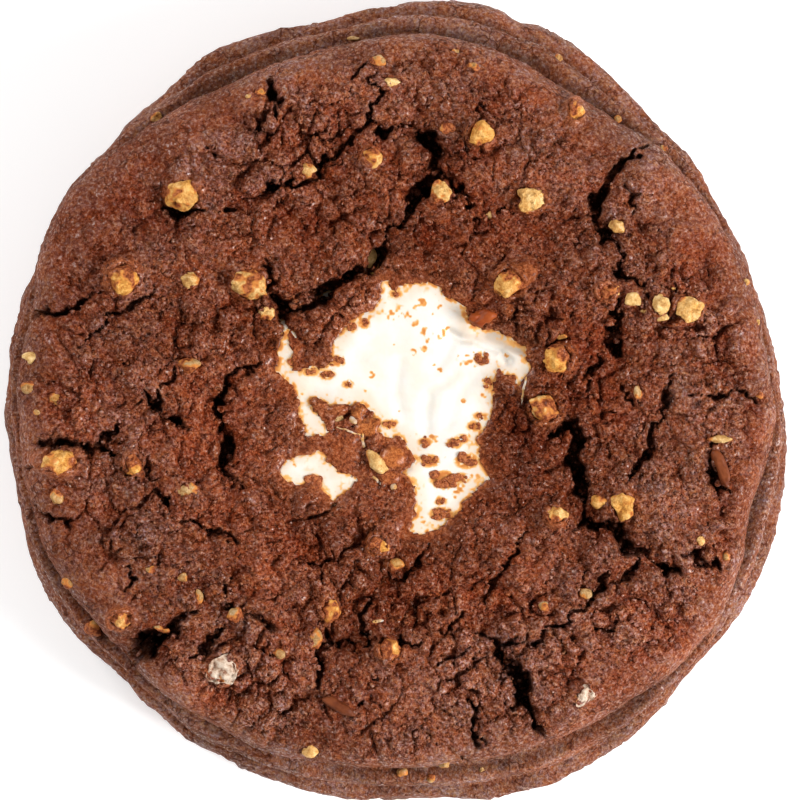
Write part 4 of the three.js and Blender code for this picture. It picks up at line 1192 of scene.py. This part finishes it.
def marshmallow_mesh():
    mesh = skirted_disc("marshmallow", FILLING_RINGS, 1)
    points = read_points(mesh)
    share, bearing = round_out(points[:, 0], points[:, 1])
    x, y = share * FILLING_REACH * np.cos(bearing), share * FILLING_REACH * np.sin(bearing)
    outside = from_tears(x, y)
    height = filling_height(x, y)
    height -= EDGE_SINK * ease(outside, 0.2, 0.8) + DIVE * ease(outside, 0.8, 2.5)
    height = np.where(points[:, 2] < 0, FILLING_FLOOR, height)
    write_points(mesh, np.stack([x, y, height], axis=1) * MM)

    flat = flat_points(x, y)
    broken = swirls(flat, (0.45, 0.9, 95), (0.75, 0.32, 96))
    inside = np.minimum(outside, 0)
    stain = EDGE_STAIN * bell(inside, EDGE_STAIN_REACH) * ease(broken, -0.6, 0.4)
    stain = np.maximum(stain, FAINT_EDGE * bell(inside, FAINT_EDGE_REACH) * ease(broken, 0.15, 0.7))
    for px, py, reach in STAINS:
        away = np.hypot(x - px, y - py)
        spotted = ease(broken, 0.3 - 0.55 * dome(away, reach * SPOT_SPREAD), 0.75)
        spotted *= ease(away, reach * SPOT_SPREAD, reach * SPOT_CORE)
        stain = np.maximum(stain, SPOT_STAIN * spotted)
    for px, py, length, width, _ in CAUGHT_CRUMBS:
        away = (np.hypot((x - px) / length, (y - py) / width) - 0.5) * min(length, width)
        stain = np.maximum(stain, ease(away + 0.25 * broken, 0.42, -0.1) * ease(broken, -0.9, 0))
    toasted = bell(np.minimum(outside + 0.4 * swirl(flat, 1.5, 97), 0), TOASTED_REACH)
    write_masks(mesh, stain=stain, thin=thin_film(x, y), toasted=toasted)
    shade_smooth(mesh)
    return mesh


CREAMS = ((0.35, (0.68, 0.625, 0.545)), (0.62, (0.71, 0.685, 0.64)))
TOASTED_CREAM, THIN_FILM_SHADED_CREAM = (0.63, 0.49, 0.36), (0.52, 0.42, 0.33)
FAINT_STAIN, DEEP_STAIN = (0.7, 0.36, 0.1), (0.5, 0.16, 0.03)


def set_marshmallow():
    material, paint, shader = new_material("set_marshmallow")
    place, stain = paint.place(), paint.mask("stain")
    cream = paint.ramp(paint.noise(place, 260), *CREAMS)
    cream = paint.blend(paint.times(paint.mask("toasted"), 0.75), cream, TOASTED_CREAM)
    # Beyond the last crease the skin is a thin film, darkened by the dough showing through it and partly by
    # painted shade where it lies lower.
    cream = paint.blend(paint.times(paint.mask("thin"), 0.85), cream, THIN_FILM_SHADED_CREAM)
    cream = paint.blend(paint.span(stain, 0, 0.55), cream, FAINT_STAIN)
    cream = paint.blend(paint.span(stain, 0.35, 1), cream, DEEP_STAIN)
    paint.feed(shader, {
        "Base Color": cream,
        "Roughness": 0.6,
        "Specular IOR Level": 0.3,
        "Subsurface Weight": 0.3,
        "Subsurface Radius": (0.0012, 0.0009, 0.0006),
        "Subsurface Scale": 1.0,
        "Normal": paint.bump(paint.noise(place, 900, 3, 0.5), 0.00005),
    })
    return material


marshmallow = add_piece("marshmallow", marshmallow_mesh())
marshmallow.data.materials.append(set_marshmallow())
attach(marshmallow, "root")
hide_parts("marshmallow_filling")

# ---- Crumbs on the marshmallow ---------------------------------------------------------------
# Crumbs of the torn dough that the soft marshmallow carried up with it. They sank in and soaked up
# its syrup, so they are darker and redder than the dough, with a glaze.


CAUGHT_SEED = 97
LEAST_LOBES, LOBES_BY_LENGTH = 6, 5
LOBE_SIZES, LOBE_STRETCHES = (0.25, 0.65), (0.9, 1.3)
LOBE_HEIGHT, LOBE_RISE = 0.55, 0.03
LOBE_SPREAD_ALONG, LOBE_SPREAD_ACROSS = 0.44, 0.42


def sunk_crumbs(crumbs, seed):
    """One mesh of soft flat crumbs, each a few lobes half sunk into the marshmallow."""
    rng = np.random.default_rng(seed)
    bm = bmesh.new()
    for px, py, length, width, bearing in crumbs:
        turned = Matrix.Rotation(math.radians(bearing), 3, "Z")
        for _ in range(LEAST_LOBES + int(LOBES_BY_LENGTH * length)):
            lobe = bmesh.ops.create_icosphere(bm, subdivisions=3, radius=0.5)["verts"]
            size = min(length, width) * rng.uniform(*LOBE_SIZES)
            stretched = size * rng.uniform(*LOBE_STRETCHES)
            bmesh.ops.scale(bm, verts=lobe, vec=(stretched, size, LOBE_HEIGHT * size))
            along = rng.uniform(-LOBE_SPREAD_ALONG, LOBE_SPREAD_ALONG) * length
            across = rng.uniform(-LOBE_SPREAD_ACROSS, LOBE_SPREAD_ACROSS) * width
            place = turned @ Vector((along, across, 0)) + Vector((px, py, 0))
            level = filling_height(np.array([place.x]), np.array([place.y]))[0]
            bmesh.ops.translate(bm, verts=lobe, vec=(place.x, place.y, level + LOBE_RISE))
    mesh = to_mesh(bm, "caught_crumbs")
    points = read_points(mesh)
    knobs = swirls(points, (0.08, 0.6, seed), (0.07, 0.25, seed + 1))
    write_points(mesh, (points + read_normals(mesh) * knobs[:, None]) * MM)
    shade_smooth(mesh)
    return mesh


# From painted shade in the gaps between granules to painted light on their tops.
GLAZED_BROWNS = ((0.42, (0.2, 0.042, 0.01)), (0.56, (0.33, 0.082, 0.022)), (0.7, (0.46, 0.14, 0.042)))


def glazed_dough():
    material, paint, shader = new_material("syrup_soaked_dough")
    crumb = granules_on(paint, GRANULE)
    paint.feed(shader, {
        "Base Color": paint.ramp(crumb["Height"], *GLAZED_BROWNS),
        "Roughness": paint.ramp(crumb["Tint"], (0.4, grey(0.5)), (0.6, grey(0.3))),
        "Specular IOR Level": 0.25,
        "Normal": paint.bump(crumb["Height"], 0.0003),
    })
    return material


caught = add_piece("caught_crumbs", sunk_crumbs(CAUGHT_CRUMBS, CAUGHT_SEED))
caught.data.materials.append(glazed_dough())
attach(caught, "root")

# ---- Marshmallow wisps -----------------------------------------------------------------------
# Threads and flecks of marshmallow that pulled off as the dough tore and set on top of it. Each is a
# tapered run of beads, and all are one piece.

# Half the thickness of each, and its route.
WISPS = [
    (0.16, [(-3.9, -3.9), (-3.95, -4.6), (-3.75, -5.4)]), (0.3, [(-5.2, -2.1), (-4.8, -2.6)]),
    (0.09, [(-6.8, -3.1), (-5.7, -3.5), (-4.6, -3.9), (-4, -4)]),
    (0.15, [(-2.7, -8.8), (-2.1, -9.4), (-1.4, -9.9)]), (0.3, [(-0.45, -10), (-0.2, -10)]),
    (0.12, [(-12.7, 8.2), (-12.9, 7), (-12.6, 5.8)]), (0.16, [(-2.7, -25.5), (-1.6, -25.4)]),
    (0.12, [(14.9, 2.6), (14.6, 1.2), (14.4, -0.4)]),
]


BEADS_BY_POINT = 8
BEAD_WIDTH, BEAD_HEIGHT, BEAD_RISE = 1.3, 0.8, 0.3


def wisps_mesh():
    bm = bmesh.new()
    for thick, route in WISPS:
        reach = np.linspace(0, len(route) - 1, BEADS_BY_POINT * len(route))
        xs, ys = (np.interp(reach, range(len(route)), values) for values in zip(*route))
        for step, (px, py) in enumerate(zip(xs, ys)):
            bead = bmesh.ops.create_icosphere(bm, subdivisions=2, radius=1)["verts"]
            radius = thick * (0.6 + 0.4 * math.sin(math.pi * (step + 0.5) / len(reach)))
            broad = BEAD_WIDTH * radius
            bmesh.ops.scale(bm, verts=bead, vec=(broad, broad, BEAD_HEIGHT * radius))
            level = landed(px, py)[0][2] + BEAD_RISE * radius
            bmesh.ops.translate(bm, verts=bead, vec=(px, py, level))
    mesh = to_mesh(bm, "marshmallow_wisps")
    points = warp(read_points(mesh), 0.4, 0.08, 98)
    write_points(mesh, points * MM)
    write_masks(mesh, stain=np.clip(0.35 + 0.35 * swirl(points, 0.5, 99), 0, 1), thin=0.4)
    shade_smooth(mesh)
    return mesh


wisps = add_piece("marshmallow_wisps", wisps_mesh())
wisps.data.materials.append(marshmallow.data.materials[0])
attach(wisps, "root")

# ---- Biscuit lumps ---------------------------------------------------------------------------
# Lumps of crushed golden biscuit in the top of the dough: broken, porous, with cocoa dough baked
# on in a thin film. Each is shaped from its CAD lump.


def node_mesh(node):
    """A merged copy of a CAD node's mesh."""
    bm = bmesh.new()
    bm.from_mesh(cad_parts[node].data)
    bmesh.ops.remove_doubles(bm, verts=bm.verts[:], dist=1e-6)
    bmesh.ops.recalc_face_normals(bm, faces=bm.faces[:])
    return bm


def broken_off(points, seed, cuts, depth):
    """Round points, in a box from -1 to 1, with flat broken faces struck off them."""
    rng = np.random.default_rng(seed)
    for _ in range(cuts):
        facing = rng.normal(size=3)
        facing /= np.linalg.norm(facing)
        beyond = points @ facing - (1 - depth * rng.random())
        points = points - np.maximum(beyond, 0)[:, None] * facing
    return points


LOBES, CUTS, CUT_DEPTH = 0.34, 7, 0.3
PORE_SPACING, PORE_REACH, PORE_DEPTH = 0.6, 0.28, 0.16


def biscuit_points(points, seed):
    """A lump's points, in millimetres, once it has been broken, with the open crumb of a biscuit."""
    low, high = points.min(axis=0), points.max(axis=0)
    middle, half = (low + high) / 2, (high - low) / 2
    lobed = (points - middle) / half
    lobed *= 1 + LOBES * swirl(lobed + seed, 1, seed + 2)[:, None]
    broken = broken_off(lobed, seed, CUTS, CUT_DEPTH)
    broken = broken * half / np.abs(broken).max(axis=0).clip(0.5) + middle
    outward = (broken - middle) / np.linalg.norm(broken - middle, axis=1)[:, None]
    near, _, mark = packing(broken + seed, PORE_SPACING, seed)
    pores = PORE_DEPTH * dome(near, PORE_REACH) * (mark > 0.5)
    rough = swirls(broken + seed, (0.26, 1.1, seed), (0.2, 0.5, seed + 1)) + 0.08
    return broken + outward * (rough - pores)[:, None]


def film_over(points, seed, amount, barest):
    """Where the dough has filmed a lump over: low down, and on the side away from its barest."""
    low, high = points.min(axis=0), points.max(axis=0)
    x, y, z = ((points - (low + high) / 2) / ((high - low) / 2)).T
    bare = x * math.cos(math.radians(barest)) + y * math.sin(math.radians(barest))
    patches = swirls(points + seed, (1.1, 1.3, 220), (0.66, 0.5, 221))
    return ease(2.2 * amount - 0.65 - 0.8 * amount * bare + patches - 0.5 * z, -0.25, 0.45)


LUMP_SEED = 401
LUMP_CUTS, LUMP_ROUNDNESS = 5, 0.6
CRUMBLED_LEVEL, CRUMBLED_UNEVEN = 0.45, 0.45


def lump_mesh(node, name, seed, finish):
    bm = node_mesh(node)
    cuts = {"cuts": LUMP_CUTS, "smooth": LUMP_ROUNDNESS}
    bmesh.ops.subdivide_edges(bm, edges=bm.edges[:], use_grid_fill=True, **cuts)
    mesh = to_mesh(bm, name)
    points = biscuit_points(read_points(mesh) / MM, seed)
    toasted, filmed, barest = finish
    if toasted < 0:
        # A white lump has crumbled nearly level with the dough.
        level = top_height(points[:, 0], points[:, 1]) + CRUMBLED_LEVEL
        level += CRUMBLED_UNEVEN * swirl(points, 0.6, seed)
        points[:, 2] = np.minimum(points[:, 2], level)
    write_points(mesh, points * MM)
    write_masks(mesh, toasted=toasted, dusty=0, film=film_over(points, seed, filmed, barest))
    shade_smooth(mesh)
    return mesh


CREAM_BISCUIT = ((0.36, (0.44, 0.21, 0.06)), (0.5, (0.68, 0.41, 0.145)), (0.62, (0.84, 0.58, 0.27)))
AMBER_BISCUIT = ((0.36, (0.34, 0.1, 0.015)), (0.5, (0.6, 0.265, 0.05)), (0.62, (0.78, 0.42, 0.11)))
WHITE_BISCUIT = ((0.36, (0.22, 0.08, 0.04)), (0.45, (0.5, 0.34, 0.24)), (0.56, (0.68, 0.54, 0.42)))
# The film's browns run from painted shade in the granules' gaps to painted light on their tops.
FILM_BROWNS = ((0.42, (0.15, 0.03, 0.008)), (0.56, (0.28, 0.066, 0.019)), (0.7, (0.42, 0.13, 0.042)))
DUSTY_TINT, GLAZE_AMBER = (0.66, 0.66, 0.78), (0.56, 0.2, 0.042)
PORE_SCALE, PATCH_SCALE = 1300, 480
FILM_GRANULE = 0.00045


def golden_biscuit():
    material, paint, shader = new_material("golden_biscuit")
    place, film = paint.place(), paint.mask("film")
    fine = paint.noise(place, PORE_SCALE, 5, 0.75)
    cream, amber = paint.ramp(fine, *CREAM_BISCUIT), paint.ramp(fine, *AMBER_BISCUIT)
    white = paint.ramp(fine, *WHITE_BISCUIT)
    patches = paint.times_plus(paint.noise(place, PATCH_SCALE, 2), 1.2, -0.6)
    patchy = paint.maths("ADD", paint.mask("toasted"), patches)
    colour = paint.blend(paint.span(patchy, 0, 1), cream, amber)
    colour = paint.blend(paint.maths("LESS_THAN", paint.mask("toasted"), -0.5), colour, white)
    colour = paint.blend(paint.mask("dusty"), colour, paint.tint(colour, DUSTY_TINT))
    colour = paint.blend(paint.span(film, 0.05, 0.5), colour, GLAZE_AMBER)
    brown = paint.ramp(granules_on(paint, FILM_GRANULE)["Height"], *FILM_BROWNS)
    paint.feed(shader, {
        "Base Color": paint.blend(paint.span(film, 0.5, 1), colour, brown),
        "Roughness": 0.5,
        "Specular IOR Level": 0.1,
        "Coat Weight": paint.ramp(fine, (0.5, grey(0)), (0.62, grey(0.35))),
        "Coat Roughness": 0.3,
        "Normal": paint.bump(fine, 0.0004),
    })
    return material


biscuit = golden_biscuit()
for index, (node, finish) in enumerate(zip(LUMP_NAMES, LUMP_FINISH)):
    name = "toasted_" + node
    lump = add_piece(name, lump_mesh(node, name, LUMP_SEED + index, finish))
    lump.data.materials.append(biscuit)
    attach(lump, "root")
    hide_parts(node)

# ---- Biscuit bits ----------------------------------------------------------------------------
# Smaller bits of the same biscuit, bedded in the dough's top and side. Each is a broken chip, and
# all are one piece.

# Place, length, width, bearing, how toasted, and how filmed over.
BISCUIT_BITS = [
    (-10.3, 26.4, 1.8, 1.4, 0, 0.4, 0.3), (-3.2, 16.4, 1.6, 2.5, 0, 0.1, 0.1),
    (25.5, 20, 1.6, 1.4, 0, 0.4, 0.3), (-23.8, 13.8, 2.4, 1.8, 0, 0.4, 0.25),
    (-14.9, 10.1, 2, 1.8, 0, 0.2, 0.2), (-23.8, 4, 2.6, 1.8, 0, 0.2, 0.6), (-42.1, 4.9, 2, 1.4, 20, 0, 0.2),
    (-42.3, 1.6, 1.8, 1.4, 0, 0.6, 0.5), (-39.3, 0, 1.4, 1.6, 0, 0.8, 0.6),
    (-41.3, -1.4, 0.8, 0.8, 0, 0.6, 0.4), (-23.9, -10.2, 2.2, 1.6, 0, 0.3, 0.4),
    (-39.2, -11, 1.5, 1.8, 0, 0.6, 0.5), (-37.9, -20.9, 1.3, 1.5, 0, 0.6, 0.5),
    (-26.9, -26.5, 2.4, 1, -20, 0.3, 0.5), (-28.3, -19.5, 1.5, 0.7, 0, 0.3, 0.5),
    (-24.5, -20.4, 1.3, 1.4, 0, 0.4, 0.5), (-22.8, -22.7, 0.8, 1.6, 0, 0.3, 0.5),
    (-18.5, -24.7, 1.9, 2, 0, 0.1, 0.4), (-9.4, -27.4, 1.3, 2.6, 0, 0.2, 0.5),
    (-13.6, -29.2, 1.2, 1.1, 0, 0.4, 0.5), (-9.9, -40.4, 1.8, 1.6, 0, 0.45, 0),
    (0, -19, 1.6, 1.2, 0, 0.9, 0.5), (27.8, 0.9, 1.2, 1.7, 0, 0.3, 0.4),
    (37.2, -4.5, 2.7, 0.9, 0, 0.3, 0.3), (21.8, -22.3, 1.3, 1.1, 0, 0.3, 0.5),
    (17, -23.8, 1.1, 0.9, 0, 0.3, 0.5), (38, -18, 0.9, 1.2, 0, 0.5, 0.4),
    (34.9, -16.3, 0.7, 0.6, 0, 0.4, 0.2), (28.6, 10.2, 1.3, 0.7, 0, 0.1, 0.2),
    (30.6, 9.5, 1.5, 0.9, 0, 0, 0.1), (31.9, 12.8, 0.7, 0.6, 0, 0.3, 0.2),
    (10.7, 21.2, 1.3, 1, 0, 0.5, 0.3), (-2, 39, 1.9, 1.1, 0, 0.5, 0.5), (6.8, 40.1, 1, 0.9, 0, 0.4, 0.4),
    (8.9, 38.4, 1.6, 0.9, 0, 0.5, 0.5), (6, 31.3, 1.6, 1, 30, 0.2, 0.6), (-15.6, 35.5, 1.4, 1, 0, 0.7, 0.4),
    (-17, 34.9, 0.9, 0.7, 0, 0.7, 0.4), (23.4, -11.6, 2, 1.4, -20, 0.8, 0.3),
    (-2.2, -7.3, 3.2, 2, -50, 0.35, 0.25), (-6.7, -2.1, 1.6, 0.7, 0, 0.1, 0.4),
    (-0.4, 36.6, 1.6, 1, 0, 0, 0.1), (27.4, 11.6, 2, 1.6, 0, 0.1, 0.2), (18.9, 7.4, 1.4, 1.2, 0, 0.9, 0.5),
    (-27.6, 32.7, 1.2, 0.9, 0, 0.6, 0.5), (-4.9, 41.7, 1.3, 0.6, 0, 0.5, 0.4),
    (25.4, 32.3, 1, 0.8, 0, 0.6, 0.5), (30.8, 29.1, 1, 0.8, 0, 0.6, 0.5),
    (18.7, 39.4, 1.2, 0.8, 0, 0.5, 0.5), (40.2, 13.6, 1, 0.8, 0, 0.5, 0.25),
    (41.6, 9, 0.9, 0.8, 0, 0.4, 0.2), (41.7, 0.6, 0.9, 0.7, 0, 0.6, 0.5),
    (-34.9, -26.5, 2, 2.2, 0, 0.5, 0.6), (0.7, -43, 0.9, 0.7, 0, 0.5, 0.4),
    (5.6, -41.9, 1, 0.8, 0, 0.5, 0.4), (4, -43.6, 0.8, 0.7, 0, 0.5, 0.4),
    (9.8, -42.6, 0.8, 0.7, 0, 0.5, 0.4),
]


BITS_SEED = 500
BIT_HEIGHT, BIT_RISE = 0.8, 0.05


def bits_mesh(bits):
    """One mesh of broken chips, each resting half sunk where it lands."""
    bm = bmesh.new()
    chips = []
    for px, py, length, width, bearing, _, _ in bits:
        chip = bmesh.ops.create_icosphere(bm, subdivisions=3, radius=1)["verts"]
        tall = BIT_HEIGHT * min(length, width)
        bmesh.ops.scale(bm, verts=chip, vec=(length / 2, width / 2, tall / 2))
        bmesh.ops.rotate(bm, verts=chip, matrix=Matrix.Rotation(math.radians(bearing), 3, "Z"))
        bmesh.ops.translate(bm, verts=chip, vec=(px, py, landed(px, py)[0][2] + BIT_RISE * tall))
        chips.append(len(chip))
    mesh = to_mesh(bm, "biscuit_bits")
    points = read_points(mesh)
    toasts, films, dusts = (np.zeros(len(points)) for _ in range(3))
    first = 0
    for index, (span, (*_, toasted, filmed)) in enumerate(zip(chips, bits)):
        own = slice(first, first + span)
        first += span
        points[own] = biscuit_points(points[own], BITS_SEED + index)
        toasts[own] = toasted
        dusts[own] = ease(filmed, 0.2, 0.45)
        films[own] = film_over(points[own], BITS_SEED + index, filmed, 90 * index)
    write_points(mesh, points * MM)
    write_masks(mesh, toasted=toasts, dusty=dusts, film=films)
    shade_smooth(mesh)
    return mesh


bits = add_piece("biscuit_bits", bits_mesh(BISCUIT_BITS))
bits.data.materials.append(biscuit)
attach(bits, "root")

# ---- Chocolate shards ------------------------------------------------------------------------
# Three slivers of milk chocolate, bedded in the top of the dough. They softened in the oven and set
# again, smooth and slightly waxy, and the last one browned to caramel. Each is shaped from its CAD
# shard.

SHARD_NAMES = sorted(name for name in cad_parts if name.startswith("chocolate_shard"))
SHARD_CARAMEL = (0.1, 0, 1)  # how much of each has turned to caramel
SHARD_CUTS, SHARD_ROUNDINGS = 5, 5
SHARD_UNEVEN, CARAMEL_UNEVEN = 0.22, 0.2
SHARD_SEED_STEP = 5.1
SHARD_TIP, SHARD_LENGTH = 0.3, 1.02  # how broad its tips stay, and where its outline would close


def shard_mesh(node, name, seed, caramel):
    bm = node_mesh(node)
    bmesh.ops.triangulate(bm, faces=bm.faces[:])
    bmesh.ops.subdivide_edges(bm, edges=bm.edges[:], cuts=SHARD_CUTS, use_grid_fill=True)
    axes = {"use_axis_x": True, "use_axis_y": True, "use_axis_z": True}
    for _ in range(SHARD_ROUNDINGS):
        bmesh.ops.smooth_vert(bm, verts=bm.verts[:], factor=0.5, **axes)
    mesh = to_mesh(bm, name)
    points = read_points(mesh) / MM
    lumpy = SHARD_UNEVEN + CARAMEL_UNEVEN * caramel
    uneven = swirls(points + seed, (lumpy, 1.1, 230), (0.5 * lumpy, 0.45, 231))
    points = points + read_normals(mesh) * uneven[:, None]

    # It tapers to both ends of its longest line.
    middle = (points.min(axis=0) + points.max(axis=0)) / 2
    flat = points[:, :2] - middle[:2]
    length_axis = np.linalg.eigh(flat.T @ flat)[1][:, 1]
    along = flat @ length_axis
    across = flat - along[:, None] * length_axis
    taper = SHARD_TIP + (1 - SHARD_TIP) * dome(along, SHARD_LENGTH * np.abs(along).max())
    points[:, :2] = middle[:2] + along[:, None] * length_axis + across * taper[:, None]
    write_points(mesh, points * MM)
    write_masks(mesh, caramel=caramel)
    shade_smooth(mesh)
    return mesh


CHOCOLATE_BROWNS = ((0.35, (0.09, 0.018, 0.005)), (0.65, (0.165, 0.042, 0.013)))
CARAMEL_BROWNS = ((0.35, (0.2, 0.032, 0.006)), (0.65, (0.29, 0.06, 0.011)))


def milk_chocolate():
    material, paint, shader = new_material("milk_chocolate")
    place = paint.place()
    grain = paint.noise(place, 700)
    brown, caramel = paint.ramp(grain, *CHOCOLATE_BROWNS), paint.ramp(grain, *CARAMEL_BROWNS)
    paint.feed(shader, {
        "Base Color": paint.blend(paint.mask("caramel"), brown, caramel),
        "Roughness": 0.5,
        "Specular IOR Level": 0.15,
        "Normal": paint.bump(paint.noise(place, 1500, 2, 0.5), 0.00004),
    })
    return material


chocolate = milk_chocolate()
for index, node in enumerate(SHARD_NAMES):
    name = "milk_" + node
    shard = add_piece(name, shard_mesh(node, name, index * SHARD_SEED_STEP, SHARD_CARAMEL[index]))
    shard.data.materials.append(chocolate)
    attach(shard, "root")
    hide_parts(node)

# ---- Table, light and camera -----------------------------------------------------------------
# A plain white table under plain soft light, seen from straight above. The light comes from two soft
# boxes, the stronger one at the right, and from an evenly bright room.

CAMERA_HEIGHT = 2.5
VIEW_WIDTH = 0.092
SENSOR_WIDTH = 36
TABLE_REACH = 3
ROOM_LIGHT = 0.41


def plain_white():
    material, paint, shader = new_material("plain_white")
    paint.feed(shader, {
        "Base Color": paint.ramp(paint.noise(paint.place(), 3, 2, 0.5), (0.3, grey(0.93)), (0.7, grey(0.95))),
        "Roughness": 0.9,
        "Emission Color": grey(1),
        "Emission Strength": 0.25,
    })
    return material


bm = bmesh.new()
bmesh.ops.create_grid(bm, x_segments=8, y_segments=8, size=TABLE_REACH)
table = add_piece("table", to_mesh(bm, "table"))
table.data.materials.append(plain_white())

world = bpy.data.worlds.new("soft_studio")
world.use_nodes = True
world.node_tree.nodes["Background"].inputs["Color"].default_value = (1, 1, 1, 1)
world.node_tree.nodes["Background"].inputs["Strength"].default_value = ROOM_LIGHT
bpy.context.scene.world = world


def add_light(name, power, size, place):
    """A square soft box that faces the middle of the table."""
    lamp = bpy.data.lights.new(name, "AREA")
    lamp.energy = power
    lamp.size = size
    light = bpy.data.objects.new(name, lamp)
    light.location = place
    light.rotation_euler = (-Vector(place)).to_track_quat("-Z", "Y").to_euler()
    bpy.context.scene.collection.objects.link(light)


add_light("softbox_right", 34, 0.6, (1.14, -0.41, 0.75))
add_light("softbox_left", 14, 0.6, (-0.9, 0.7, 0.8))

camera = bpy.data.objects.new("camera", bpy.data.cameras.new("camera"))
camera.location = (0.0004, 0, CAMERA_HEIGHT)
camera.data.sensor_width = SENSOR_WIDTH
camera.data.lens = SENSOR_WIDTH * (CAMERA_HEIGHT - CREST * MM) / VIEW_WIDTH
camera.data.clip_end = 20
bpy.context.scene.collection.objects.link(camera)
bpy.context.scene.camera = camera
bpy.context.scene.view_settings.view_transform = "Standard"
